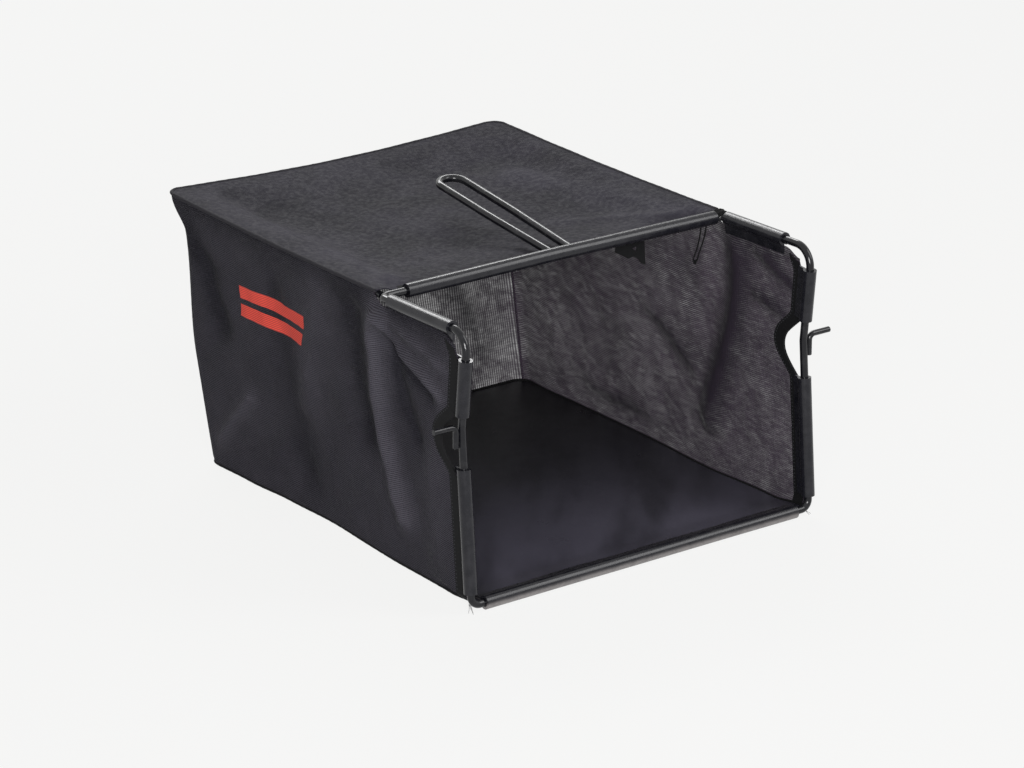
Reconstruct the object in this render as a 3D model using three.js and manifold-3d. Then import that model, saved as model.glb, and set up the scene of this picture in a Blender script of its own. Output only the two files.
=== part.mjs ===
// Grass catcher of a walk-behind mower: a cloth bag held open by a welded wire frame.
// Millimetres, +Z up. X runs along the mouth, +Y runs back into the bag.
// Everything is drawn from the mouth plane (y = 0) and the whole bag is then moved
// so that the origin lies under the middle of the floor sheet.

import * as THREE from "three";
import { mergeVertices } from "three/addons/utils/BufferGeometryUtils.js";
import Module from "manifold-3d";

const wasm = await Module();
wasm.setup();

// Driving sizes of the frame
const frameWire = 8;
const frameHalfWidth = 212;
const frameHeight = 285;
const hookHeight = 185;
const hookSetback = 15;
const shoulderSetback = 5.5;
const crossbarY = 150;
const crossbarFall = 4;
const crossbarZ = frameHeight - crossbarFall;
const crossbarCrown = 1.5;
const frameBottomBend = 10;
const frameTopBend = 20;
const crossbarBend = 8;
const crownBend = 400;
const buttGap = 0.5;

// Driving sizes of the hidden bow that carries the top of the bag
const bowWire = 7;
const bowInset = 4;
const bowHalfWidth = frameHalfWidth - bowInset;
const bowSag = 2.5;
const bowRearDip = 7;
const bowSlack = 1;
const bowBend = 13;
const bowSweep = 300;
const bowBackClearance = 3.5;

// Driving sizes of the handle
const handleX = 7;
const handleWire = 8;
const handleRootSpacing = 24;
const handleEndSpacing = 30;
const handleReach = 201;
const handleRootInset = 2;
const handleRootRise = 3.5;
const handleRise = 23.5;
const handleSweep = 200;
const handleEndFlat = 0.1;
const handleRootZ = crossbarZ + handleRootRise;
const handleEndZ = handleRootZ + handleRise;

// Driving sizes of the hook pegs
const hookRod = 6;
const hookLegLength = 22;
const hookPegRise = 5;
const hookPegZ = hookHeight + hookPegRise;
const hookLegBottom = hookPegZ - hookLegLength;
const hookPegReach = 26;
const hookInset = 0.5;
const hookY = hookSetback - hookInset;
const hookBend = 6;
const weldLength = 15;
const weldThickness = 4.2;

// Driving sizes of the edge clips
const clipOuter = 14;
const clipBore = 8.8;
const clipFin = 17;
const clipFinTop = -0.4;
const clipFinThickness = 1.8;
const clipSeat = 0.6;
const bowEndSeat = 0.9;
const clipSlitAngle = 24;
const crossbarFinDrop = 25;
const handleNotch = 0.9;

// Where each clip starts and ends, as its distances from the bends of its own run of wire
const crossbarClipSpan = [30 - frameHalfWidth, frameHalfWidth - 9];
const bottomClipSpan = [15 - frameHalfWidth, frameHalfWidth - 18];
const lowerClipSpan = [20, hookHeight - 39];
const upperClipSpan = {
  left: [hookHeight + 15, frameHeight - 27],
  right: [hookHeight + 22, frameHeight - 23],
};
const shoulderClipSpan = {
  left: [30, crossbarY - 18],
  right: [48, crossbarY - 10],
};

// Driving sizes of the bag
const cloth = 1.6;
const floorSheet = 2;
const clothOffset = 0.7;
const gap = 0.35;
const bagLengthTop = 546;
const bagLengthFloor = 485;
const bagCorner = 16;
const topSeamRise = 4.7;
const topClothRise = 0.25;
const topSag = 13;
const topEdgeBand = 60;
const topFrontSlope = 20;
const topSagRun = 110;
const sideBelly = 5;
const frontLift = 5;
const frontLiftLength = 45;
const cornerPinch = 19;
const cornerPinchTop = crossbarZ - 2;
const cornerPinchDeepest = cornerPinchTop - 30;
const cornerPinchEnd = cornerPinchDeepest - 134;
const topSeam = 4.2;
const seam = 3.6;
const tape = 3;
const seamLift = 0.5;
const seamClearance = 1.1;
const rearSeamGap = 0.55;
const topSeamProud = 0.3;

// The free front corner of the side panels, between the upper clip and the shoulder clip
const corner = { y: 25, z: frameHeight - 16 };
const cornerTurn = 22;
const seamTurn = [4, 18];
const tapeShare = 0.8;

// How the cloth comes free of the edge clips: [start, end] of the change past the fin
const drawnInPastFin = [5, 80];
const foldsPastFin = [11, 50];
const foldsUnderFin = [6, 38];

// How far each side of the floor is drawn in, as [distance from the mouth, inset]
const floorInset = {
  left: [[8, 8], [60, 12], [139, 12], [273, 17], [342, 14], [410, 9], [490, 6]],
  right: [[8, 3], [75, 3], [155, 8], [262, 5], [380, 6], [437, 8], [490, 6]],
};

// Cut-outs of the side panels at the hooks: middle, half height and depth
const cutout = {
  left: { z: hookHeight - 19, half: 34, depth: 28 },
  right: { z: hookHeight - 13, half: 34, depth: 25 },
};

// Folds as routes in (y, z), outward when the rise is positive
const sideFolds = {
  left: [
    { rise: 6, width: 10, route: [[150, 259], [132, 245], [115, 233], [76, 221], [56, 210]] },
    { rise: -6, width: 10, route: [[128, 226], [105, 212], [70, 201]] },
    { rise: 4, width: 9, route: [[128, 258], [98, 250], [65, 242], [46, 235]] },
    { rise: 7, width: 17, route: [[158, 262], [172, 237], [164, 201], [147, 155], [98, 132]] },
    { rise: 5, width: 11, route: [[462, 30], [435, 62], [402, 97]] },
    { rise: -7, width: 16, route: [[505, 250], [470, 215], [450, 160]] },
    { rise: -4, width: 24, route: [[300, 40], [330, 140], [350, 230]] },
  ],
  right: [
    { rise: -9, width: 13, route: [[128, 262], [115, 232], [118, 184], [129, 143], [144, 97], [150, 60]] },
    { rise: 5, width: 13, route: [[152, 250], [146, 210], [152, 160]] },
    { rise: -5, width: 9, route: [[87, 262], [58, 252], [30, 232]] },
    { rise: -5, width: 9, route: [[85, 215], [60, 209], [48, 204]] },
    { rise: -3, width: 12, route: [[259, 149], [218, 131], [175, 106]] },
    { rise: -3, width: 12, route: [[358, 34], [312, 30], [257, 31]] },
    { rise: -8, width: 17, route: [[414, 240], [414, 155], [401, 127], [417, 80], [431, 45]] },
    { rise: -7, width: 16, route: [[505, 250], [470, 215], [450, 160]] },
  ],
};

// Folds of the top as routes in (x, y), upward when the rise is positive
const topFolds = [
  { rise: 2.5, width: 12, route: [[196, 172], [158, 186], [134, 226], [90, 244]] },
  { rise: 2.5, width: 18, route: [[-190, 520], [-172, 430], [-168, 300], [-180, 200]] },
  { rise: -2, width: 26, route: [[60, 480], [30, 330], [-60, 250]] },
];

// Folds of the back as routes in (x, z), backward when the rise is positive
const rearFolds = [
  { rise: -4, width: 18, route: [[-150, 60], [-120, 140], [-90, 220]] },
  { rise: -4, width: 16, route: [[150, 50], [120, 140], [130, 220]] },
  { rise: 3, width: 24, route: [[20, 40], [0, 150], [30, 230]] },
];

// The ties sewn under the crossbar hem, as [x, depth below the hem]
const strapThickness = 1.2;
const strapSetback = 11;
const strapOutline = [[83, 0], [83, 9.5], [100, 19], [106, 18], [112, 21.5], [116.5, 27.5], [121.5, 30], [119.5, 0]];
const strapHole = [[104, 9], [110.5, 7.5], [110, 14]];
const cordWidth = 1.6;
const cordKnot = 5;
const cordSetback = 11;
const cordRoute = [
  [194.5, 0], [194.3, 4], [193.6, 10], [192.2, 17], [190.2, 24], [187.6, 30.5], [185.4, 34.6], [185.2, 37.4],
  [187.2, 39.2], [189.8, 38.4], [191, 35.6], [193, 30], [196, 23], [198.6, 16], [200.4, 9], [201.2, 4], [201.4, 0],
];

// Grid lines of the cloth as stretches, each [where it ends, steps in it]
function spaced(stretches) {
  const places = [0];
  for (const [end, steps] of stretches) {
    const start = places[places.length - 1];
    for (let i = 1; i <= steps; i++) {
      places.push(start + ((end - start) * i) / steps);
    }
  }
  return places;
}

const sideColumns = spaced([[0.35, 14], [0.9, 9], [1, 4]]);
const sideRows = spaced([[0.1, 3], [0.85, 14], [1, 4]]);
const topColumns = spaced([[0.03, 2], [0.97, 16], [1, 2]]);
const topRows = spaced([[0.12, 3], [0.9, 11], [1, 4]]);
const rearColumns = spaced([[0.05, 3], [0.95, 12], [1, 3]]);
const rearRows = spaced([[0.75, 7], [1, 5]]);
const floorColumns = spaced([[1, 8]]);
const floorRows = spaced([[0.12, 5], [0.9, 8], [1, 3]]);
const bendSteps = 4;

const floorMiddle = 245;

// Small shape helpers

function mix(a, b, t) {
  return a + (b - a) * t;
}

function ease(from, to, value) {
  const t = Math.min(Math.max((value - from) / (to - from), 0), 1);
  return t * t * (3 - 2 * t);
}

// A smooth curve through a short list of [position, height] pairs
function easeThrough(pairs, value) {
  let height = pairs[0][1];
  for (let i = 1; i < pairs.length; i++) {
    height += (pairs[i][1] - pairs[i - 1][1]) * ease(pairs[i - 1][0], pairs[i][0], value);
  }
  return height;
}

function distanceToSegment(px, py, a, b) {
  const dx = b[0] - a[0];
  const dy = b[1] - a[1];
  const t = ((px - a[0]) * dx + (py - a[1]) * dy) / (dx * dx + dy * dy);
  const s = Math.min(Math.max(t, 0), 1);
  return Math.hypot(px - a[0] - dx * s, py - a[1] - dy * s);
}

function foldHeight(folds, px, py) {
  let height = 0;
  for (const fold of folds) {
    let nearest = Infinity;
    for (let i = 1; i < fold.route.length; i++) {
      nearest = Math.min(nearest, distanceToSegment(px, py, fold.route[i - 1], fold.route[i]));
    }
    height += fold.rise * Math.exp(-((nearest / fold.width) ** 2));
  }
  return height;
}

// Wire centre lines

function bentPath(corners) {
  const points = [corners[0].at];
  for (let i = 1; i < corners.length - 1; i++) {
    const before = corners[i - 1].at.clone().sub(corners[i].at).normalize();
    const after = corners[i + 1].at.clone().sub(corners[i].at).normalize();
    const half = before.angleTo(after) / 2;
    const centre = before.clone().add(after).normalize();
    centre.multiplyScalar(corners[i].radius / Math.sin(half)).add(corners[i].at);
    const reach = corners[i].radius / Math.tan(half);
    const start = before.multiplyScalar(reach).add(corners[i].at).sub(centre);
    const end = after.multiplyScalar(reach).add(corners[i].at).sub(centre);
    const turn = start.angleTo(end);
    const steps = Math.max(1, Math.round((bendSteps * turn) / (Math.PI / 2)));
    for (let k = 0; k <= steps; k++) {
      const angle = (turn * k) / steps;
      const a = Math.sin(turn - angle) / Math.sin(turn);
      const b = Math.sin(angle) / Math.sin(turn);
      points.push(start.clone().multiplyScalar(a).addScaledVector(end, b).add(centre));
    }
  }
  points.push(corners[corners.length - 1].at);
  return points;
}

// A path with one section at each of its points, so straight runs stay plain
class WirePath extends THREE.Curve {
  constructor(points) {
    super();
    this.points = points;
  }

  getPoint(t, target = new THREE.Vector3()) {
    const last = this.points.length - 1;
    const place = Math.min(Math.max(t, 0), 1) * last;
    const index = Math.min(Math.floor(place + 1e-9), last - 1);
    return target.lerpVectors(this.points[index], this.points[index + 1], place - index);
  }

  getPointAt(u, target) {
    return this.getPoint(u, target);
  }

  getTangent(t, target = new THREE.Vector3()) {
    const last = this.points.length - 1;
    const index = Math.round(Math.min(Math.max(t, 0), 1) * last);
    const before = this.points[Math.max(index - 1, 0)];
    const after = this.points[Math.min(index + 1, last)];
    const here = this.points[index];
    const arriving = here.clone().sub(before).normalize();
    const leaving = after.clone().sub(here).normalize();
    return target.copy(arriving.add(leaving)).normalize();
  }

  getTangentAt(u, target) {
    return this.getTangent(u, target);
  }
}

function wire(points, diameter, halfSides = 5) {
  const section = new THREE.Shape();
  section.absarc(0, 0, diameter / 2, 0, 2 * Math.PI);
  return new THREE.ExtrudeGeometry(section, {
    steps: points.length - 1,
    extrudePath: new WirePath(points),
    curveSegments: halfSides,
    bevelEnabled: false,
  });
}

function point(x, y, z) {
  return new THREE.Vector3(x, y, z);
}

// Joining and cutting

function toSolid(geometry) {
  const plain = geometry.clone();
  plain.deleteAttribute("normal");
  plain.deleteAttribute("uv");
  const merged = mergeVertices(plain, 1e-4);
  const mesh = new wasm.Mesh({
    numProp: 3,
    vertProperties: new Float32Array(merged.attributes.position.array),
    triVerts: new Uint32Array(merged.index.array),
  });
  return new wasm.Manifold(mesh);
}

function toGeometry(solid) {
  const mesh = solid.getMesh();
  const geometry = new THREE.BufferGeometry();
  geometry.setAttribute("position", new THREE.BufferAttribute(new Float32Array(mesh.vertProperties), 3));
  geometry.setIndex(new THREE.BufferAttribute(new Uint32Array(mesh.triVerts), 1));
  geometry.computeVertexNormals();
  return geometry;
}

// Frame

const wireRadius = frameWire / 2;
const bottomZ = clipOuter / 2;
const uprightKink = { y: hookSetback, z: hookHeight };

function uprightY(z) {
  if (z < uprightKink.z) {
    return (uprightKink.y * (z - bottomZ)) / (uprightKink.z - bottomZ);
  }
  return mix(uprightKink.y, shoulderSetback, (z - uprightKink.z) / (frameHeight - uprightKink.z));
}

function shoulderZ(y) {
  return mix(frameHeight, crossbarZ, (y - shoulderSetback) / (crossbarY - shoulderSetback));
}

function halfFrame(side) {
  return [
    { at: point(side * frameHalfWidth, 0, bottomZ), radius: frameBottomBend },
    { at: point(side * frameHalfWidth, uprightKink.y, uprightKink.z), radius: frameTopBend },
    { at: point(side * frameHalfWidth, shoulderSetback, frameHeight), radius: frameTopBend },
    { at: point(side * frameHalfWidth, crossbarY, crossbarZ), radius: crossbarBend },
  ];
}

function frameGeometry(diameter = frameWire, halfSides = 5) {
  const corners = [
    { at: point(buttGap / 2, 0, bottomZ) },
    ...halfFrame(1),
    { at: point(0, crossbarY, crossbarZ + crossbarCrown), radius: crownBend },
    ...halfFrame(-1).reverse(),
    { at: point(-buttGap / 2, 0, bottomZ) },
  ];
  return wire(bentPath(corners), diameter, halfSides);
}

function bowZ(y) {
  const t = (y - crossbarY) / (bagLengthTop - crossbarY);
  return crossbarZ - bowSag * Math.sin(Math.PI * Math.min(Math.max(t, 0), 1));
}

const bowRearY = bagLengthTop - cloth / 2 - gap - bowWire / 2 - bowBackClearance;

function bowGeometry() {
  const armStart = crossbarY + wireRadius + gap;
  const arm = (side) => [0, 0.25, 0.5, 0.75].map((t) => {
    const y = mix(armStart, bowRearY, t);
    return { at: point(side * bowHalfWidth, y, bowZ(y)), radius: bowSweep };
  });
  const dip = bowRearDip + bowSlack;
  const rear = (x) => point(x, bowRearY, crossbarZ - dip * Math.cos((Math.PI * x) / (2 * bowHalfWidth)));
  const left = arm(-1);
  const right = arm(1);
  const corners = [
    ...left,
    { at: rear(-bowHalfWidth), radius: bowBend },
    { at: rear(-bowHalfWidth / 2), radius: bowSweep },
    { at: rear(0), radius: bowSweep },
    { at: rear(bowHalfWidth / 2), radius: bowSweep },
    { at: rear(bowHalfWidth), radius: bowBend },
    ...right.reverse(),
  ];
  return wire(bentPath(corners), bowWire, 4);
}

function handleGeometry() {
  const rootY = crossbarY + handleRootInset;
  const endY = crossbarY + handleReach;
  const endRadius = handleEndSpacing / 2;
  const corners = [
    { at: point(handleX - handleRootSpacing / 2, rootY, handleRootZ) },
    { at: point(handleX - endRadius, mix(rootY, endY, 0.5), mix(handleRootZ, handleEndZ, 0.5)), radius: handleSweep },
    { at: point(handleX - endRadius, endY, handleEndZ), radius: endRadius - handleEndFlat / 2 },
    { at: point(handleX + endRadius, endY, handleEndZ), radius: endRadius - handleEndFlat / 2 },
    { at: point(handleX + endRadius, mix(rootY, endY, 0.5), mix(handleRootZ, handleEndZ, 0.5)), radius: handleSweep },
    { at: point(handleX + handleRootSpacing / 2, rootY, handleRootZ) },
  ];
  const loop = toSolid(wire(bentPath(corners), handleWire));
  return toGeometry(loop.subtract(toSolid(frameGeometry(frameWire + 2 * gap, 8))).decompose()
    .reduce((best, piece) => (piece.volume() > best.volume() ? piece : best)));
}

// Hook pegs with the weld that joins them to the upright

function hookGeometry(side) {
  const legX = side * (frameHalfWidth + wireRadius + gap + hookRod / 2);
  const rod = toSolid(wire(bentPath([
    { at: point(legX, hookY, hookLegBottom) },
    { at: point(legX, hookY, hookPegZ), radius: hookBend },
    { at: point(legX + side * hookPegReach, hookY, hookPegZ) },
  ]), hookRod));
  const bead = new THREE.SphereGeometry(0.5, 10, 8);
  bead.scale(weldThickness, weldThickness, weldLength);
  bead.translate(side * (frameHalfWidth + wireRadius), hookY + hookRod / 3, mix(hookLegBottom, hookPegZ, 0.4));
  const welded = rod.add(toSolid(bead)).subtract(toSolid(frameGeometry(frameWire + 2 * gap, 8)));
  return toGeometry(welded.decompose().reduce((best, piece) => (piece.volume() > best.volume() ? piece : best)));
}

// Edge clips: a C round the wire, open beside a flat fin

function clipSection() {
  const outer = clipOuter / 2;
  const inner = clipBore / 2;
  const finBottom = clipFinTop - clipFinThickness;
  const slit = THREE.MathUtils.degToRad(clipSlitAngle);
  const section = new THREE.Shape();
  section.moveTo(clipFin, finBottom);
  section.lineTo(clipFin, clipFinTop);
  section.absarc(0, 0, inner, Math.asin(clipFinTop / inner), slit, true);
  section.absarc(0, 0, outer, slit, 2 * Math.PI + Math.asin(finBottom / outer), false);
  section.lineTo(clipFin, finBottom);
  return section;
}

// fin: direction in which the cloth leaves the clip; outward: the side that the cloth lies on
function clipGeometry(from, to, fin, outward) {
  const xAxis = fin.clone().normalize();
  const along = to.clone().sub(from);
  const yAxis = outward.clone();
  yAxis.addScaledVector(xAxis, -yAxis.dot(xAxis));
  const run = along.clone().normalize();
  yAxis.addScaledVector(run, -yAxis.dot(run)).normalize();
  xAxis.addScaledVector(run, -xAxis.dot(run)).normalize();
  const zAxis = xAxis.clone().cross(yAxis);
  const start = zAxis.dot(along) > 0 ? from : to;
  const geometry = new THREE.ExtrudeGeometry(clipSection(), {
    depth: along.length(),
    curveSegments: 8,
    bevelEnabled: false,
  });
  geometry.applyMatrix4(new THREE.Matrix4().makeBasis(xAxis, yAxis, zAxis).setPosition(start));
  return geometry;
}

function uprightClip(side, span) {
  const at = (z) => point(side * frameHalfWidth, uprightY(z), z);
  return clipGeometry(at(span[0]), at(span[1]), point(0, 1, 0), point(side, 0, 0));
}

function shoulderClip(side, span) {
  const at = (y) => point(side * frameHalfWidth, y, shoulderZ(y));
  return clipGeometry(at(span[0]), at(span[1]), point(0, 0, -1), point(side, 0, 0));
}

function crossbarClip() {
  const drop = THREE.MathUtils.degToRad(crossbarFinDrop);
  const at = (x) => point(x, crossbarY, crossbarZ + crossbarCrown * (1 - Math.abs(x) / frameHalfWidth));
  const fin = point(0, Math.cos(drop), -Math.sin(drop));
  const halves = [[crossbarClipSpan[0], 0], [0, crossbarClipSpan[1]]];
  const [left, right] = halves.map(([a, b]) => {
    return toSolid(clipGeometry(at(a), at(b), fin, point(0, Math.sin(drop), Math.cos(drop))));
  });
  let clip = left.add(right);
  for (const side of [-1, 1]) {
    const width = handleWire + 2 * handleNotch;
    const notch = new THREE.BoxGeometry(width, clipOuter, width);
    const legX = handleX + (side * handleRootSpacing) / 2;
    notch.translate(legX, crossbarY + handleRootInset - handleNotch + clipOuter / 2, handleRootZ + handleNotch);
    clip = clip.subtract(toSolid(notch));
  }
  return toGeometry(clip);
}

function bottomClip() {
  const at = (x) => point(x, 0, bottomZ);
  return clipGeometry(at(bottomClipSpan[0]), at(bottomClipSpan[1]), point(0, 1, 0), point(0, 0, -1));
}

// Cloth: a closed sheet round a middle surface

function sheetGeometry(surface, columnPlaces, rowPlaces, thickness) {
  const step = 1e-3;
  const columns = columnPlaces.length - 1;
  const rows = rowPlaces.length - 1;
  const positions = [];
  const front = [];
  const back = [];
  for (const v of rowPlaces) {
    for (const u of columnPlaces) {
      const here = surface(u, v);
      const du = surface(Math.min(u + step, 1), v).sub(surface(Math.max(u - step, 0), v));
      const dv = surface(u, Math.min(v + step, 1)).sub(surface(u, Math.max(v - step, 0)));
      const normal = du.cross(dv).normalize().multiplyScalar(thickness / 2);
      front.push(here.clone().add(normal));
      back.push(here.clone().sub(normal));
    }
  }
  for (const p of [...front, ...back]) {
    positions.push(p.x, p.y, p.z);
  }
  const count = front.length;
  const at = (i, j) => j * (columns + 1) + i;
  const faces = [];
  const quad = (a, b, c, d) => faces.push(a, b, c, a, c, d);
  for (let j = 0; j < rows; j++) {
    for (let i = 0; i < columns; i++) {
      const loop = [at(i, j), at(i + 1, j), at(i + 1, j + 1), at(i, j + 1)];
      quad(...loop);
      quad(...loop.map((k) => k + count).reverse());
    }
  }
  const edge = [];
  for (let i = 0; i < columns; i++) edge.push(at(i, 0));
  for (let j = 0; j < rows; j++) edge.push(at(columns, j));
  for (let i = columns; i > 0; i--) edge.push(at(i, rows));
  for (let j = rows; j > 0; j--) edge.push(at(0, j));
  edge.forEach((a, k) => {
    const b = edge[(k + 1) % edge.length];
    quad(a, a + count, b + count, b);
  });
  const geometry = new THREE.BufferGeometry();
  geometry.setAttribute("position", new THREE.Float32BufferAttribute(positions, 3));
  geometry.setIndex(faces);
  geometry.computeVertexNormals();
  return geometry;
}

// A surface spanned between four edges that meet at their ends
function between(bottom, top, front, rear) {
  return (s, t) => [0, 1].map((k) => {
    const across = mix(bottom(s)[k], top(s)[k], t) + mix(front(t)[k], rear(t)[k], s);
    const low = mix(bottom(0)[k], bottom(1)[k], s);
    const high = mix(top(0)[k], top(1)[k], s);
    return across - mix(low, high, t);
  });
}

// The bag's outer form

const topZ = crossbarZ + topSeamRise;

function backY(z) {
  return mix(bagLengthFloor, bagLengthTop, z / topZ);
}

function pinch(z) {
  const below = ease(cornerPinchEnd, cornerPinchDeepest, z);
  return cornerPinch * below * (1 - ease(cornerPinchDeepest, cornerPinchTop, z));
}

function floorLift(y) {
  const start = clipOuter / 2;
  return frontLift * (1 - ease(start, start + frontLiftLength, y));
}

function seamZ(y) {
  return bowZ(y) + topSeamRise;
}

const sideX = frameHalfWidth + clothOffset;
const topSeamX = sideX + topSeamProud;

function drawnIn(side, y, z) {
  const name = side < 0 ? "left" : "right";
  const atFloor = easeThrough(floorInset[name], y);
  const height = Math.min(Math.max(z / (topZ - clipOuter / 2 - clipFin), 0), 1);
  const open = ease(clipFin + drawnInPastFin[0], clipFin + drawnInPastFin[1], y - uprightY(z));
  const nearFloor = 1 - ease(4, lowerClipSpan[0] - 5, z);
  return atFloor * mix(nearFloor, (1 - height) ** 1.3, open);
}

function cornerRound(distance) {
  const into = Math.min(Math.max(bagCorner - distance, 0), bagCorner);
  return bagCorner - Math.sqrt(bagCorner ** 2 - into ** 2);
}

const cornerInset = bagCorner * (1 - Math.SQRT1_2);

function sideSurface(side) {
  const name = side < 0 ? "left" : "right";
  const notch = cutout[name];
  const edgeGap = clipOuter / 2 + clipSeat;
  const low = (y) => seam + seamClearance + gap + floorLift(y);
  const frontLow = low(edgeGap);
  const front = (t) => {
    const z = mix(frontLow, corner.z, t);
    const cut = Math.cos((Math.PI / 2) * Math.min(Math.abs(z - notch.z) / notch.half, 1));
    const turn = (corner.y - uprightY(corner.z) - edgeGap) * ease(corner.z - cornerTurn, corner.z, z);
    return [uprightY(z) + edgeGap + notch.depth * cut ** 1.2 + turn, z];
  };
  const rearLow = low(bagLengthFloor);
  const rearHigh = seamZ(bagLengthTop) - topSeam / 2 - clipSeat;
  const rear = (t) => {
    const z = mix(rearLow, rearHigh, t);
    return [backY(z) - pinch(z) - cornerInset - seam / 2 - rearSeamGap, z];
  };
  const topEdge = (y) => {
    const underClip = shoulderZ(y) - clipOuter / 2 - clipSeat;
    const rise = mix(corner.z, underClip, ease(corner.y, corner.y + cornerTurn, y));
    return mix(rise, seamZ(y) - topSeam / 2 - clipSeat, ease(crossbarY - seamTurn[0], crossbarY + seamTurn[1], y));
  };
  const bottom = (s) => {
    const y = mix(front(0)[0], rear(0)[0], s);
    return [y, low(y)];
  };
  const top = (s) => {
    const y = mix(front(1)[0], rear(1)[0], s);
    return [y, topEdge(y)];
  };
  const flat = between(bottom, top, front, rear);
  return (s, t) => {
    const [y, z] = flat(s, t);
    const pastFin = ease(clipFin + foldsPastFin[0], clipFin + foldsPastFin[1], y - uprightY(z));
    const underFin = ease(clipFin + foldsUnderFin[0], clipFin + foldsUnderFin[1], topZ - z);
    const toBack = backY(z) - pinch(z) - y;
    const free = pastFin * underFin * ease(bagCorner / 2, 3 * bagCorner, toBack) * ease(seam, 10 * seam, z);
    const belly = sideBelly * Math.sin(Math.PI * s) * Math.sin(Math.PI * t);
    const folds = foldHeight(sideFolds[name], y, z);
    const x = sideX - drawnIn(side, y, z) + free * (folds - belly) - cornerRound(toBack);
    return point(side * x, y, z);
  };
}

function reversed(places) {
  return places.map((place) => 1 - place).reverse();
}

function sidePanel(side) {
  const surface = sideSurface(side);
  if (side > 0) {
    return sheetGeometry(surface, sideColumns, sideRows, cloth);
  }
  return sheetGeometry((s, t) => surface(1 - s, t), reversed(sideColumns), sideRows, cloth);
}

// Where the cloth leaves the crossbar clip, at its upper face
const crossbarDrop = THREE.MathUtils.degToRad(crossbarFinDrop);
const clipReach = clipOuter / 2 + clipSeat;

function crossbarCrownAt(x) {
  return crossbarCrown * (1 - Math.min(Math.abs(x) / frameHalfWidth, 1));
}

function clothAtCrossbarZ(x) {
  const below = clipReach * Math.sin(crossbarDrop) - clothOffset * Math.cos(crossbarDrop);
  return crossbarZ + crossbarCrownAt(x) - below;
}

function topZAt(x, y) {
  const inward = frameHalfWidth - Math.abs(x);
  const wireBand = frameHalfWidth - bowHalfWidth + bowWire / 2 + 1;
  const atSeam = seamZ(y) + topClothRise;
  const atFront = mix(atSeam, clothAtCrossbarZ(x), ease(wireBand, wireBand + topFrontSlope, inward));
  const middle = atSeam - topSag * ease(wireBand, topEdgeBand, inward);
  const atRear = atSeam - rearDip(x);
  const behindClip = ease(crossbarY + clipReach, crossbarY + topSagRun, y);
  const towardRear = ease(bagLengthTop - topSagRun, bagLengthTop, y);
  return mix(mix(atFront, middle, behindClip), atRear, towardRear);
}

function topSurface() {
  const frontY = crossbarY + clipReach * Math.cos(crossbarDrop) + clothOffset * Math.sin(crossbarDrop);
  const half = topSeamX - topSeam / 2 - gap;
  const rearY = bagLengthTop - topSeam / 2 - gap;
  const round = cornerInset;
  const left = (t) => [-half + cornerRound(rearY - mix(frontY, rearY - round, t)), mix(frontY, rearY - round, t)];
  const right = (t) => [-left(t)[0], left(t)[1]];
  const front = (s) => [mix(-half, half, s), frontY];
  const rear = (s) => {
    const x = mix(left(1)[0], right(1)[0], s);
    return [x, rearY - cornerRound(half - Math.abs(x))];
  };
  const flat = between(front, rear, left, right);
  return (s, t) => {
    const [x, y] = flat(s, t);
    const free = ease(0, 0.12, s) * ease(0, 0.12, 1 - s) * ease(0, 0.08, t) * ease(0, 0.12, 1 - t);
    return point(x, y, topZAt(x, y) + free * foldHeight(topFolds, x, y));
  };
}

function rearSurface() {
  const low = seam + seamClearance + gap;
  const high = seamZ(bagLengthTop) - topSeam / 2 - clipSeat;
  const edgeX = (z) => {
    const y = backY(z) - pinch(z) - cornerInset;
    const inset = (drawnIn(-1, y, z) + drawnIn(1, y, z)) / 2;
    return sideX - inset - cornerInset - seam / 2 - gap;
  };
  return (s, t) => {
    const z0 = mix(low, high, t);
    const side = 2 * s - 1;
    const x = side * edgeX(z0);
    const toSide = edgeX(z0) + cornerInset + seam / 2 + gap - Math.abs(x);
    const reach = Math.abs(side);
    const dip = bowRearDip * Math.cos((Math.PI / 2) * side) * ease(0.5, 1, t);
    const free = ease(0, 0.1, s) * ease(0, 0.1, 1 - s) * ease(0, 0.12, t) * ease(0, 0.12, 1 - t);
    const y = backY(z0) - pinch(z0) * reach ** 5 - cornerRound(toSide);
    return point(x, y + free * foldHeight(rearFolds, x, z0), z0 - dip);
  };
}

function floorSurface() {
  const frontY = clipReach;
  const rearY = bagLengthFloor - seam - clipSeat;
  const edge = (side, y) => {
    const toBack = rearY + seam + gap - y;
    return sideX - drawnIn(side, y, 0) - seam / 2 - bowEndSeat - cornerRound(toBack);
  };
  const lastY = rearY - cornerInset;
  const left = (t) => [-edge(-1, mix(frontY, lastY, t)), mix(frontY, lastY, t)];
  const right = (t) => [edge(1, mix(frontY, lastY, t)), mix(frontY, lastY, t)];
  const front = (s) => [mix(left(0)[0], right(0)[0], s), frontY];
  const rear = (s) => {
    const x = mix(left(1)[0], right(1)[0], s);
    const near = Math.min(x - left(1)[0], right(1)[0] - x);
    return [x, rearY - cornerRound(near + cornerInset)];
  };
  const flat = between(front, rear, left, right);
  return (s, t) => {
    const [x, y] = flat(s, t);
    return point(x, y, floorSheet / 2 + floorLift(y));
  };
}

// Sewn seams

function sampled(count, place) {
  return Array.from({ length: count + 1 }, (_, i) => place(i / count));
}

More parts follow.
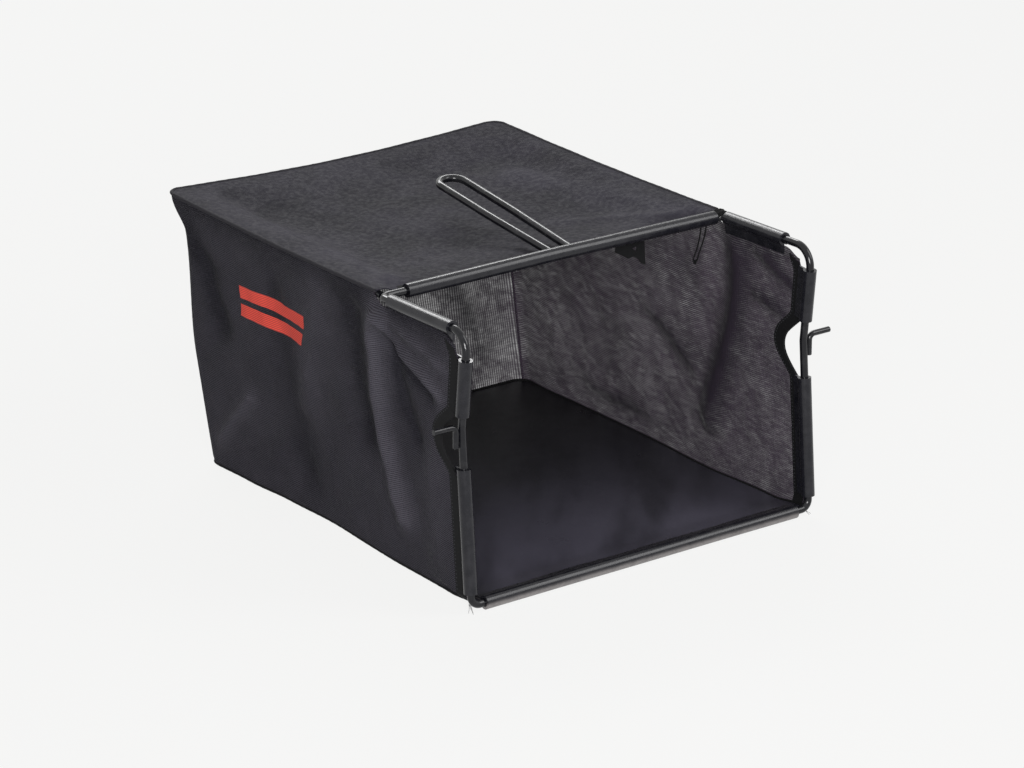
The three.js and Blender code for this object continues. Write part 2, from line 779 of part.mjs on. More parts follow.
function topSeamPath() {
  const start = crossbarY + clipOuter / 2 + 1;
  const half = topSeamX;
  const cornerX = half - bagCorner;
  const cornerY = bagLengthTop - bagCorner;
  const sideRun = (side) => sampled(8, (t) => {
    const y = mix(start, cornerY, t);
    return point(side * half, y, seamZ(y));
  });
  const turn = (side) => sampled(4, (t) => {
    const angle = (t * Math.PI) / 2;
    const x = cornerX + bagCorner * Math.cos(angle);
    return point(side * x, cornerY + bagCorner * Math.sin(angle), topZ - rearDip(x));
  }).slice(1);
  const back = sampled(8, (t) => {
    const x = mix(-cornerX, cornerX, t);
    return point(x, bagLengthTop, topZ - rearDip(x));
  }).slice(1, -1);
  return [...sideRun(-1), ...turn(-1), ...back, ...turn(1).reverse(), ...sideRun(1).reverse()];
}

function rearDip(x) {
  return bowRearDip * Math.cos((Math.PI / 2) * Math.min(Math.abs(x) / frameHalfWidth, 1));
}

function floorSeamPath() {
  const start = clipOuter / 2 + 1;
  const cornerY = bagLengthFloor - bagCorner;
  const z = (y) => seam / 2 + seamLift + floorLift(y);
  const edge = (side, y) => side * (sideX - drawnIn(side, y, 0));
  const run = (side) => sampled(12, (t) => {
    const y = mix(start, cornerY, t);
    return point(edge(side, y), y, z(y));
  });
  const turn = (side) => sampled(3, (t) => {
    const angle = (t * Math.PI) / 2;
    const cx = edge(side, cornerY) - side * bagCorner;
    return point(cx + side * bagCorner * Math.cos(angle), cornerY + bagCorner * Math.sin(angle), z(cornerY));
  }).slice(1);
  return [...run(-1), ...turn(-1), ...turn(1).reverse(), ...run(1).reverse()];
}

function rearSeamPath(side) {
  const low = seam + seamClearance + gap;
  const high = seamZ(bagLengthTop) - topSeam / 2 - 2 * clipSeat;
  const proud = (seam - cloth) / 2 * Math.SQRT1_2;
  return sideRows.map((t) => {
    const z = mix(low, high, t);
    const y = backY(z) - pinch(z) - cornerInset;
    return point(side * (sideX - drawnIn(side, y, z) - cornerInset + proud), y + proud, z);
  });
}

function cutoutPath(side) {
  const notch = cutout[side < 0 ? "left" : "right"];
  const surface = sideSurface(side);
  const rows = sideRows.map((t) => surface(0, t));
  const path = [];
  for (let j = 1; j < rows.length - 1; j++) {
    if (Math.abs(rows[j].z - notch.z) > tapeShare * notch.half) continue;
    const run = rows[j + 1].clone().sub(rows[j - 1]).setX(0).normalize();
    const outward = point(0, -run.z, run.y).multiplyScalar(tape / 2 + gap);
    path.push(rows[j].clone().add(outward).add(point(side * (tape / 2 - clothOffset), 0, 0)));
  }
  return path;
}

// The ties inside the bag

function hemUnderZ(x, y) {
  const under = clipFinThickness - clipFinTop;
  const along = (y - crossbarY + under * Math.sin(crossbarDrop)) / Math.cos(crossbarDrop);
  const fall = along * Math.sin(crossbarDrop) + under * Math.cos(crossbarDrop);
  return crossbarZ + crossbarCrownAt(x) - fall;
}

function strapGeometry() {
  const back = crossbarY + strapSetback;
  const flat = ([x, depth]) => new THREE.Vector2(x, -depth);
  const outline = new THREE.Shape(strapOutline.map(flat));
  outline.holes.push(new THREE.Path(strapHole.map(flat)));
  const geometry = new THREE.ExtrudeGeometry(outline, { depth: strapThickness, bevelEnabled: false });
  geometry.rotateX(Math.PI / 2);
  const widest = Math.max(...strapOutline.map(([x]) => Math.abs(x)));
  geometry.translate(0, back, hemUnderZ(widest, back) - gap);
  return geometry;
}

function cordGeometry() {
  const middle = crossbarY + cordSetback;
  const top = hemUnderZ(frameHalfWidth, middle + cordWidth / 2) - gap;
  const points = cordRoute.map(([x, depth]) => point(x, middle, top - depth));
  const knot = new THREE.SphereGeometry(cordKnot / 2, 10, 8);
  const low = points.reduce((lowest, p) => (p.z < lowest.z ? p : lowest));
  knot.translate(low.x, low.y, low.z);
  return toGeometry(toSolid(wire(points, cordWidth, 4)).add(toSolid(knot)));
}

// Materials

const paint = new THREE.MeshStandardMaterial({ color: 0x17171a, roughness: 0.25, metalness: 0.3 });
const clipPlastic = new THREE.MeshStandardMaterial({ color: 0x2b2b2e, roughness: 0.38, metalness: 0 });
const topCloth = new THREE.MeshStandardMaterial({ color: 0x343338, roughness: 0.85, metalness: 0 });
const meshCloth = new THREE.MeshStandardMaterial({ color: 0x2f2e34, roughness: 0.9, metalness: 0 });
const coatedSheet = new THREE.MeshStandardMaterial({ color: 0x1c1c22, roughness: 0.35, metalness: 0 });
const trim = new THREE.MeshStandardMaterial({ color: 0x161618, roughness: 0.8, metalness: 0 });

// Assembly

const catcher = new THREE.Group();
catcher.name = "grass_catcher";
catcher.position.y = -floorMiddle;

function add(name, geometry, material) {
  const mesh = new THREE.Mesh(geometry, material);
  mesh.name = name;
  catcher.add(mesh);
}

add("front_frame", frameGeometry(), paint);
add("rear_bow", bowGeometry(), paint);
add("carry_handle", handleGeometry(), paint);
add("crossbar_clip", crossbarClip(), clipPlastic);
add("bottom_clip", bottomClip(), clipPlastic);
for (const [name, side] of [["left", -1], ["right", 1]]) {
  add(`${name}_hook`, hookGeometry(side), paint);
  add(`${name}_lower_clip`, uprightClip(side, lowerClipSpan), clipPlastic);
  add(`${name}_upper_clip`, uprightClip(side, upperClipSpan[name]), clipPlastic);
  add(`${name}_shoulder_clip`, shoulderClip(side, shoulderClipSpan[name]), clipPlastic);
  add(`${name}_side_panel`, sidePanel(side), meshCloth);
  add(`${name}_rear_seam`, wire(rearSeamPath(side), seam, 4), trim);
  add(`${name}_cutout_binding`, wire(cutoutPath(side), tape, 4), trim);
}
add("top_panel", sheetGeometry(topSurface(), topColumns, topRows, cloth), topCloth);
const rear = rearSurface();
add("rear_panel", sheetGeometry((s, t) => rear(1 - s, t), rearColumns, rearRows, cloth), meshCloth);
add("floor_panel", sheetGeometry(floorSurface(), floorColumns, floorRows, floorSheet), coatedSheet);
add("top_seam_binding", wire(topSeamPath(), topSeam, 4), trim);
add("floor_seam_binding", wire(floorSeamPath(), seam, 4), trim);
add("tie_strap", strapGeometry(), trim);
add("tie_cord", cordGeometry(), trim);

export default catcher;
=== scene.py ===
import math

import bmesh
import bpy
import numpy as np
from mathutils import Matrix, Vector


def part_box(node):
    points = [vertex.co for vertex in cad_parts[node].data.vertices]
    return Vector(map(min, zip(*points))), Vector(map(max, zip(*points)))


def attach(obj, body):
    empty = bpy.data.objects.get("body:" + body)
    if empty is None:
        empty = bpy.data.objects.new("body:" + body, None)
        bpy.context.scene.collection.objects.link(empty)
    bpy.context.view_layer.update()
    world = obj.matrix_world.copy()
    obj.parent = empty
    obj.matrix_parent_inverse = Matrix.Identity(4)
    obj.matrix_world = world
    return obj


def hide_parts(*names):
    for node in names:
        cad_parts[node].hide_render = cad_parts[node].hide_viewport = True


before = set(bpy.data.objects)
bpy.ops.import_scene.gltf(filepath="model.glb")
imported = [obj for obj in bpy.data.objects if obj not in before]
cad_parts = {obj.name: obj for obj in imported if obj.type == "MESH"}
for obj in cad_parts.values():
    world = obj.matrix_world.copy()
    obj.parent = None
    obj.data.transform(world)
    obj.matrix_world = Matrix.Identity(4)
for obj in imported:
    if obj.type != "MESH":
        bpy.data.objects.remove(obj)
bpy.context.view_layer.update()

MM = 0.001

# Sizes of the frame
FRAME_WIRE = 8
FRAME_HALF_WIDTH = 212
FRAME_HEIGHT = 285
HOOK_HEIGHT = 185
HOOK_SETBACK = 15
SHOULDER_SETBACK = 5.5
CROSSBAR_Y = 150
CROSSBAR_Z = 281
CROSSBAR_CROWN = 1.5
BUTT_HALF_GAP = 0.25
FRAME_BOTTOM_BEND = 10
FRAME_TOP_BEND = 20
CROSSBAR_BEND = 8
CROWN_BEND = 400

# Sizes of the bow that carries the top of the bag
BOW_WIRE = 7
BOW_HALF_WIDTH = 208
BOW_SAG = 2.5
BOW_REAR_DIP = 7
BOW_SLACK = 1
BOW_BEND = 13
BOW_CURVE = 300
BOW_BACK_CLEARANCE = 3.5

# Sizes of the handle
HANDLE_X = 7
HANDLE_WIRE = 8
HANDLE_ROOT_SPACING = 24
HANDLE_END_SPACING = 30
HANDLE_REACH = 201
HANDLE_ROOT_INSET = 2
HANDLE_ROOT_Z = 284.5
HANDLE_END_Z = 308
HANDLE_CURVE = 200
HANDLE_BEND_SLACK = 0.05

# Sizes of the hook pegs
HOOK_ROD = 6
HOOK_LEG_BOTTOM = 168
HOOK_PEG_Z = 190
HOOK_PEG_REACH = 26
HOOK_Y = 14.5
HOOK_BEND = 6
HOOK_CHAMFER = 0.4
HOOK_TIP_RADIUS = HOOK_ROD / 2 - 0.35

# Height and seed of each bead of a hook's weld, its half sizes, and how far it lies behind
WELD_BEADS = ((172.0, 11), (179.5, 12))
WELD_SIZE = (2.6, 2.4, 5.2)
WELD_SETBACK = 1.5

# Sizes of the edge clips
CLIP_OUTER = 14
CLIP_BORE = 8.8
CLIP_FIN = 17
FIN_SEEN = 15.6
CLIP_FIN_TOP = -0.4
CLIP_FIN_THICKNESS = 1.8
CLIP_SEAT = 0.6
CLIP_SLIT = math.radians(24)
CROSSBAR_DROP = math.radians(25)
CROSSBAR_SPAN = (-182, 203)
BOTTOM_SPAN = (-197, 194)
LOWER_SPAN = (20, 146)
UPPER_SPAN = {-1: (200, 258), 1: (207, 262)}
SHOULDER_SPAN = {-1: (30, 132), 1: (48, 140)}

# Sizes of the bag
CLOTH_HALF = 0.8
CLOTH_OFFSET = 0.7
GAP = 0.35
BAG_LENGTH_TOP = 546
BAG_LENGTH_FLOOR = 485
BAG_CORNER = 16
TOP_SEAM_RISE = 4.7
TOP_SEAM_OUT = 0.3
TOP_CLOTH_RISE = 0.25
TOP_SAG = 13
TOP_EDGE_BAND = 60
SIDE_BELLY = 5
FRONT_LIFT = 5
FRONT_LIFT_LENGTH = 45
CORNER_PINCH = 19
CORNER_PINCH_TOP = 279
CORNER_PINCH_DEEPEST = 249
CORNER_PINCH_END = 115
TOP_SEAM = 4.2
SEAM = 3.6
SEAM_LIFT = 0.5
SEAM_CLEARANCE = 1.1
FREE_CORNER_Y = 25
FREE_CORNER_Z = 269
SHEET_THICKNESS = 1.1
SEAM_TUCK = 1.6
REAR_SEAM = 1.2
CORNER_OVERLAP = 0.9
FLOOR_THICKNESS = 1.6

FLOOR_INSET = {
    -1: [(8, 8), (60, 12), (139, 12), (273, 17), (342, 14), (410, 9), (490, 6)],
    1: [(8, 3), (75, 3), (155, 8), (262, 5), (380, 6), (437, 8), (490, 6)],
}
CUTOUT = {-1: (166, 34, 28), 1: (172, 34, 25)}

# Folds: how far they stand out, their half width, how sharp they are, how much they
# double the cloth, and their route
SIDE_FOLDS = {
    -1: [
        (8, 8, 1.4, 0.0, [(156, 264), (132, 245), (115, 233), (76, 221), (50, 208)]),
        (-7, 9, 1.5, 0.5, [(130, 230), (105, 215), (70, 203)]),
        (4.5, 6, 1.4, 0.0, [(150, 266), (98, 252), (65, 244), (40, 236)]),
        (11, 13, 1.5, 0.0, [(156, 268), (166, 234), (161, 190), (157, 140), (138, 92), (124, 55)]),
        (-7, 13, 1.6, 0.35, [(136, 236), (128, 205), (117, 175), (98, 148)]),
        (3, 24, 1.8, 0.0, [(64, 140), (74, 100), (66, 60)]),
        (7, 8, 1.3, 0.0, [(462, 30), (435, 62), (402, 97)]),
        (-7, 20, 1.8, 0.15, [(204, 262), (206, 200), (190, 120)]),
        (4, 22, 1.8, 0.0, [(262, 250), (286, 190), (300, 120)]),
        (-7, 16, 1.8, 0.2, [(505, 250), (470, 215), (450, 160)]),
        (-4, 24, 2.0, 0.1, [(300, 40), (330, 140), (350, 230)]),
    ],
    1: [
        (-7, 14, 1.8, 1.0, [(128, 266), (115, 232), (118, 184), (129, 143), (144, 97), (150, 60)]),
        (3, 20, 1.8, 0.0, [(158, 250), (152, 210), (160, 160)]),
        (-5, 8, 1.5, 0.7, [(87, 262), (58, 252), (30, 232)]),
        (-5, 8, 1.5, 0.7, [(85, 215), (60, 209), (48, 204)]),
        (-3, 8, 1.4, 0.4, [(259, 149), (218, 131), (175, 106)]),
        (-3, 8, 1.4, 0.3, [(358, 34), (312, 30), (257, 31)]),
        (-5, 12, 1.6, 0.35, [(450, 250), (438, 225), (424, 196)]),
        (-7, 16, 1.8, 0.2, [(505, 250), (470, 215), (450, 160)]),
    ],
}
TOP_FOLDS = [
    (3.0, 12, 1.6, 0, [(196, 172), (158, 186), (134, 226), (90, 244)]),
    (2.5, 18, 2.0, 0, [(-190, 520), (-172, 430), (-168, 300), (-180, 200)]),
    (3, 22, 1.8, 0, [(-180, 166), (-168, 230), (-176, 330), (-190, 420)]),
    (-3, 30, 2.0, 0, [(-150, 500), (-120, 420), (-90, 300)]),
    (6, 26, 1.8, 0, [(140, 400), (158, 330), (170, 260), (186, 190)]),
    (-2, 26, 2.0, 0, [(60, 480), (30, 330), (-60, 250)]),
]
REAR_FOLDS = [
    (-4, 18, 1.8, 0.2, [(-150, 60), (-120, 140), (-90, 220)]),
    (-4, 16, 1.8, 0.3, [(150, 50), (120, 140), (130, 220)]),
    (3, 24, 2.0, 0.0, [(20, 40), (0, 150), (30, 230)]),
]

# The bag is drawn from the mouth, whose plane the bottom clip lies round
MOUTH_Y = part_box("bottom_clip")[0].y / MM + CLIP_OUTER / 2


def to_part(points):
    """Points from the mouth plane, in millimetres, as points of the part, in metres."""
    return (np.asarray(points, float) + np.array([0, MOUTH_Y, 0])) * MM


SIDES = (("left", -1), ("right", 1))


def put_in_scene(name, data):
    """An object of the mesh, curve, lamp or camera, linked to the scene."""
    item = bpy.data.objects.new(name, data)
    bpy.context.scene.collection.objects.link(item)
    return item


# Camera, at the photograph's angle

PHOTO_WIDTH = 1024
FOCAL_PIXELS = 4000
SENSOR_WIDTH = 36
CAMERA_PLACE = (-2.2650, -3.1277, 1.5752)
CAMERA_AZIMUTH = -36.09
CAMERA_ELEVATION = 20.72

camera_data = bpy.data.cameras.new("camera")
camera_data.sensor_width = SENSOR_WIDTH
camera_data.lens = FOCAL_PIXELS * SENSOR_WIDTH / PHOTO_WIDTH
camera = put_in_scene("camera", camera_data)
camera.location = CAMERA_PLACE
camera.rotation_euler = (math.radians(90 - CAMERA_ELEVATION), 0, math.radians(CAMERA_AZIMUTH))
bpy.context.scene.camera = camera


# Small shape helpers

def mix(a, b, t):
    return a + (b - a) * t


def ease(start, end, value):
    t = np.clip((value - start) / (end - start), 0, 1)
    return t * t * (3 - 2 * t)


def ease_through(pairs, value):
    height = np.full(np.shape(value), float(pairs[0][1]))
    for (a, low), (b, high) in zip(pairs, pairs[1:]):
        height = height + (high - low) * ease(a, b, value)
    return height


def distance_to_route(px, py, route):
    nearest = np.full(np.shape(px), 1e9)
    for a, b in zip(route, route[1:]):
        dx, dy = b[0] - a[0], b[1] - a[1]
        t = np.clip(((px - a[0]) * dx + (py - a[1]) * dy) / (dx * dx + dy * dy), 0, 1)
        nearest = np.minimum(nearest, np.hypot(px - a[0] - dx * t, py - a[1] - dy * t))
    return nearest


def fold_height(folds, px, py):
    height = np.zeros(np.shape(px))
    for rise, width, sharpness, _, route in folds:
        height = height + rise * np.exp(-((distance_to_route(px, py, route) / width) ** sharpness))
    return height


RIPPLE_LENGTHS = (92, 61, 43, 30, 21, 15)
RIPPLE_BEND = 1.2


def ripples(px, py, seed):
    """Slight unevenness of cloth: a few long waves that cross each other."""
    random = np.random.default_rng(seed)
    height = np.zeros(np.shape(px))
    for length in RIPPLE_LENGTHS:
        angle = random.uniform(0, math.pi)
        phase = random.uniform(0, 2 * math.pi)
        along = px * math.cos(angle) + py * math.sin(angle)
        across = py * math.cos(angle) - px * math.sin(angle)
        bend = np.sin(2 * math.pi * across / (3 * length) + phase)
        wave = np.sin(2 * math.pi * along / length + phase + RIPPLE_BEND * bend)
        height = height + length / RIPPLE_LENGTHS[0] * wave
    return height


def unit(vector):
    return vector / np.linalg.norm(vector)


def lengths_along(points):
    """How far along a line each of its points lies."""
    return np.concatenate([[0], np.cumsum(np.linalg.norm(np.diff(points, axis=0), axis=1))])


BEND_STEPS = 12


def bent_path(corners):
    """Points of a wire that runs straight between corners and bends round each of them."""
    points = [np.array(corners[0][0], float)]
    for i in range(1, len(corners) - 1):
        at, radius = np.array(corners[i][0], float), corners[i][1]
        before = unit(np.array(corners[i - 1][0], float) - at)
        after = unit(np.array(corners[i + 1][0], float) - at)
        half = math.acos(np.clip(before @ after, -1, 1)) / 2
        centre = at + unit(before + after) * radius / math.sin(half)
        reach = radius / math.tan(half)
        start, end = at + before * reach - centre, at + after * reach - centre
        turn = math.pi - 2 * half
        steps = max(2, round(BEND_STEPS * turn / (math.pi / 2)))
        for k in range(steps + 1):
            angle = turn * k / steps
            a, b = math.sin(turn - angle) / math.sin(turn), math.sin(angle) / math.sin(turn)
            points.append(start * a + end * b + centre)
    points.append(np.array(corners[-1][0], float))
    return np.array(points)


def smooth_path(points, count):
    """A Catmull-Rom curve through the points."""
    points = np.asarray(points, float)
    padded = np.vstack([2 * points[0] - points[1], points, 2 * points[-1] - points[-2]])
    result = []
    for k in range(count + 1):
        place = (len(points) - 1) * k / count
        i = min(int(place), len(points) - 2)
        t = place - i
        p0, p1, p2, p3 = padded[i:i + 4]
        result.append(0.5 * (2 * p1 + (p2 - p0) * t + (2 * p0 - 5 * p1 + 4 * p2 - p3) * t ** 2
                             + (3 * p1 - p0 - 3 * p2 + p3) * t ** 3))
    return np.array(result)


# Mesh helpers

def add_mesh(name, points, faces, material, crease=math.radians(40)):
    mesh = bpy.data.meshes.new(name)
    mesh.from_pydata(to_part(points).tolist(), [], faces)
    tidy = bmesh.new()
    tidy.from_mesh(mesh)
    bmesh.ops.recalc_face_normals(tidy, faces=tidy.faces)
    tidy.to_mesh(mesh)
    tidy.free()
    mesh.polygons.foreach_set("use_smooth", [True] * len(mesh.polygons))
    mesh.set_sharp_from_angle(angle=crease)
    mesh.materials.append(material)
    return put_in_scene(name, mesh)


def ring_faces(rings, sides):
    """Faces of a closed skin over rings of vertices, with a cap at each end."""
    faces = []
    last = (rings - 1) * sides
    for low in range(0, last, sides):
        for i in range(sides):
            k = (i + 1) % sides
            faces.append((low + i, low + k, low + sides + k, low + sides + i))
    return [*faces, tuple(reversed(range(sides))), tuple(range(last, last + sides))]


def joined(parts):
    """Vertices and faces of several parts as those of one mesh."""
    vertices, faces = [], []
    for more, extra in parts:
        faces.extend(tuple(len(vertices) + i for i in face) for face in extra)
        vertices.extend(more)
    return vertices, faces


def tube_parts(points, radius, sides):
    """Vertices and faces of a round bar; its radius is one number, or one for each point."""
    points = np.asarray(points, float)
    radii = np.broadcast_to(radius, len(points))
    steps = np.diff(points, axis=0)
    steps = steps / np.linalg.norm(steps, axis=1)[:, None]
    tangents = np.vstack([steps[:1], steps[1:] + steps[:-1], steps[-1:]])
    tangents = tangents / np.linalg.norm(tangents, axis=1)[:, None]
    side = np.array([0, 0, 1.0])
    if abs(tangents[0] @ side) > 0.8:
        side = np.array([0, 1.0, 0])
    turns = np.arange(sides) * 2 * math.pi / sides
    vertices = []
    for centre, tangent, r in zip(points, tangents, radii):
        side = unit(side - (side @ tangent) * tangent)
        other = np.cross(tangent, side)
        vertices.extend(centre + np.outer(np.cos(turns) * r, side) + np.outer(np.sin(turns) * r, other))
    return vertices, ring_faces(len(points), sides)


def tube(name, points, diameter, material, sides):
    vertices, faces = tube_parts(points, np.asarray(diameter) / 2, sides)
    return add_mesh(name, vertices, faces, material)


def surface_frame(surface, u, v, thickness):
    """Points of both faces of a sheet round a middle surface."""
    step = 1e-3
    here = surface(u, v)
    du = surface(u + step, v) - surface(u - step, v)
    dv = surface(u, v + step) - surface(u, v - step)
    normal = np.cross(du, dv)
    normal = normal / np.linalg.norm(normal, axis=-1)[..., None] * thickness / 2
    return here + normal, here - normal


def sheet(name, surface, columns, rows, thickness, material):
    u, v = np.meshgrid(columns, rows)
    front, back = surface_frame(surface, u, v, thickness)
    count = u.size
    wide, high = len(columns), len(rows)
    index = np.arange(count).reshape(high, wide)
    a, b, c, d = index[:-1, :-1], index[:-1, 1:], index[1:, 1:], index[1:, :-1]
    quads = np.stack([a, b, c, d], -1).reshape(-1, 4)
    rim = [*index[0, :-1], *index[:-1, -1], *index[-1, :0:-1], *index[:0:-1, 0]]
    faces = quads.tolist() + (quads[:, ::-1] + count).tolist()
    for p, q in zip(rim, rim[1:] + rim[:1]):
        faces.append((int(p), int(p) + count, int(q) + count, int(q)))
    points = np.concatenate([front.reshape(-1, 3), back.reshape(-1, 3)])
    return add_mesh(name, points, faces, material, crease=math.radians(60))


def flat_size(surface, columns, rows):
    """The longest lengths of a surface across and along, and its area, in metres."""
    points = surface(*np.meshgrid(columns, rows)) * MM
    across = float(np.linalg.norm(np.diff(points, axis=1), axis=-1).sum(axis=1).max())
    along = float(np.linalg.norm(np.diff(points, axis=0), axis=-1).sum(axis=0).max())
    cells = np.cross(points[1:, 1:] - points[:-1, :-1], points[1:, :-1] - points[:-1, 1:])
    return across, along, float(np.linalg.norm(cells, axis=-1).sum() / 2)


# How a fold doubles the cloth: over a narrow and a wide band and less near its ends, in its
# half widths, and the share that is left at the ends
PLEAT_NARROW = 0.45
PLEAT_WIDE = 1.3
PLEAT_END_LENGTH = 2.5
PLEAT_END_SHARE = 0.35

# Fold height at which a crest gets its full painted light and a valley its full painted shade,
# and how far and how much painted shade darkens a hung cloth under its top seam
FOLD_SHADING_FULL = 8
SEAM_SHADE = 18
SEAM_SHADE_SHARE = 0.6


def bell(distance, width):
    return np.exp(-((distance / width) ** 2))


def mark_pleats(piece, surface, columns, rows, folds, axes, hung, first_is_inner):
    """Stores how much the folds double each point of a cloth, the painted light on its fold crests
    and painted shade in their valleys and under a hung cloth's top seam, and whether it faces into the bag."""
    u, v = np.meshgrid(columns, rows)
    places = surface(u, v)
    px, py = places[..., axes[0]], places[..., axes[1]]
    doubled = np.zeros(px.shape)
    for _, width, _, share, route in folds:
        distance = distance_to_route(px, py, route)
        from_ends = np.minimum(*(np.hypot(px - x, py - y) for x, y in (route[0], route[-1])))
        core = (bell(distance, PLEAT_NARROW * width) + bell(distance, PLEAT_WIDE * width)) / 2
        whole = mix(PLEAT_END_SHARE, 1, ease(0, PLEAT_END_LENGTH * width, from_ends))
        doubled = np.maximum(doubled, share * core * whole)
    # Painted light on fold crests and painted shade in fold valleys, and painted shade under a hung cloth's
    # top seam
    painted_fold_shading = np.clip(fold_height(folds, px, py) / FOLD_SHADING_FULL, -1, 1)
    if hung:
        painted_fold_shading = painted_fold_shading - SEAM_SHADE_SHARE * bell((1 - v) * TOP_Z, SEAM_SHADE)
    first = np.full(u.size, 1.0 if first_is_inner else 0.0)
    marks = {
        "pleat": np.tile(doubled.ravel(), 2),
        "painted_fold_shading": np.tile(painted_fold_shading.ravel(), 2),
        "inner": np.concatenate([first, 1 - first]),
    }
    for name, values in marks.items():
        attribute = piece.data.attributes.new(name, "FLOAT", "POINT")
        attribute.data.foreach_set("value", values.astype(np.float32))


def shown_mesh(item):
    """The mesh of an object with its modifiers or its curve worked out."""
    bpy.context.view_layer.update()
    return bpy.data.meshes.new_from_object(item.evaluated_get(bpy.context.evaluated_depsgraph_get()))


def cut(piece, cutter):
    """Takes the cutter's volume out of the piece."""
    change = piece.modifiers.new("cut", "BOOLEAN")
    change.object = cutter
    change.operation = "DIFFERENCE"
    change.solver = "EXACT"
    result = shown_mesh(piece)
    piece.modifiers.clear()
    piece.data = result
    bpy.data.objects.remove(cutter)


def dress(piece, slot, *nodes):
    """Every piece rides on the one body and stands for its nodes; its slot is not used."""
    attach(piece, "root")
    if nodes:
        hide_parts(*nodes)
    return piece


# Materials

def feed(socket, value):
    """Gives a socket a field, or a value of its own."""
    if isinstance(value, Field):
        socket.id_data.links.new(value.output, socket)
    else:
        socket.default_value = value


def field(tree, kind, output, inputs, **settings):
    """An output of a new node with these inputs and settings."""
    node = tree.nodes.new("ShaderNode" + kind)
    for setting, value in settings.items():
        setattr(node, setting, value)
    for socket, value in inputs.items():
        feed(node.inputs[socket], value)
    return Field(node.outputs[output])


class Field:
    """A node's output, such as a number that varies over a piece, for use in formulas."""

    def __init__(self, output):
        self.output = output
        self.tree = output.id_data

    def maths(self, operation, *values):
        return field(self.tree, "Math", 0, dict(enumerate(values)), operation=operation)

    def __add__(self, other):
        return self.maths("ADD", self, other)

    def __sub__(self, other):
        return self.maths("SUBTRACT", self, other)

    def __rsub__(self, other):
        return self.maths("SUBTRACT", other, self)

    def __mul__(self, other):
        return self.maths("MULTIPLY", self, other)

    def __abs__(self):
        return self.maths("ABSOLUTE", self)

    def clamped(self):
        """The same sum or product, kept from 0 to 1."""
        self.output.node.use_clamp = True
        return self

    def spread(self, low, high, new_low=0.0, new_high=1.0):
        """The number eased from one range into another."""
        inputs = dict(enumerate((self, low, high, new_low, new_high)))
        return field(self.tree, "MapRange", 0, inputs, interpolation_type="SMOOTHSTEP")

    def blend(self, low, high):
        """A colour between two others, each three numbers or a field."""
        low, high = (tone if isinstance(tone, Field) else (*tone, 1) for tone in (low, high))
        return field(self.tree, "Mix", "Result", {"A": low, "B": high, "Factor": self}, data_type="RGBA")


class Shader:
    """A material under construction: a Principled surface and the fields that feed it."""

    def __init__(self, name, colour, roughness, **constants):
        self.material = bpy.data.materials.new(name)
        self.material.use_nodes = True
        self.tree = self.material.node_tree
        self.surface = self.tree.nodes["Principled BSDF"].inputs
        self.surface["Base Color"].default_value = (*colour, 1)
        self.surface["Roughness"].default_value = roughness
        for socket, value in constants.items():
            self.surface[socket.replace("_", " ")].default_value = value
        self.place = field(self.tree, "TexCoord", "Object", {})

    def stretched(self, scale, turn=0.0, tilt=0.0):
        """Places turned and scaled, so that a noise takes them as longer or shorter."""
        turned = (math.radians(tilt), 0, math.radians(turn))
        inputs = {"Rotation": turned, "Scale": tuple(1 / number for number in scale), "Vector": self.place}
        return field(self.tree, "Mapping", "Vector", inputs, vector_type="TEXTURE")

    def noise(self, scale, detail=3, roughness=0.55, vector=None):
        inputs = {"Scale": scale, "Detail": detail, "Roughness": roughness, "Vector": vector or self.place}
        return field(self.tree, "TexNoise", "Fac", inputs)

    def cells(self, scale):
        return field(self.tree, "TexVoronoi", "Distance", {"Scale": scale, "Vector": self.place})

    def axis(self, letter):
        return field(self.tree, "SeparateXYZ", letter, {0: self.place})

    def attribute(self, name):
        return field(self.tree, "Attribute", "Fac", {}, attribute_name=name)

    def threads(self, letter, pitch, wobble=0.0):
        """1 on a thread and 0 between two threads that lie side by side along an axis."""
        place = self.axis(letter)
        if wobble:
            place = place + self.noise(60, 2) * (wobble * MM)
        wave = place.maths("SINE", place * (2 * math.pi / (pitch * MM)))
        return wave.spread(-1, 1)

    def colour(self, factor, low, high):
        feed(self.surface["Base Color"], factor.blend(low, high))

    def roughness(self, factor, low, high):
        feed(self.surface["Roughness"], factor.spread(0.3, 0.7, low, high))

    def bump(self, height, depth, strength):
        inputs = {"Distance": depth * MM, "Strength": strength, "Height": height}
        feed(self.surface["Normal"], field(self.tree, "Bump", "Normal", inputs))


def frame_paint():
    """Gloss black paint on drawn wire, with a slight orange peel and dull rubbed places."""
    shader = Shader("frame_paint", (0.010, 0.010, 0.012), 0.2, Specular_IOR_Level=0.2,
                    Coat_Weight=0.25, Coat_Roughness=0.08)
    paleness = shader.noise(70, 4)
    shader.colour(paleness.spread(0.45, 0.75), (0.005, 0.005, 0.007), (0.016, 0.016, 0.018))
    shader.roughness(paleness, 0.12, 0.28)
    shader.bump(shader.noise(420, 2), 0.08, 0.5)
    return shader.material


# Heights of the bottom clip where its paler lower band, wear from the ground and a painted
# reflection of the floor, ends and where it is full
WEAR_AND_REFLECTION_END = 9.5
WEAR_AND_REFLECTION_FULL = 4.5


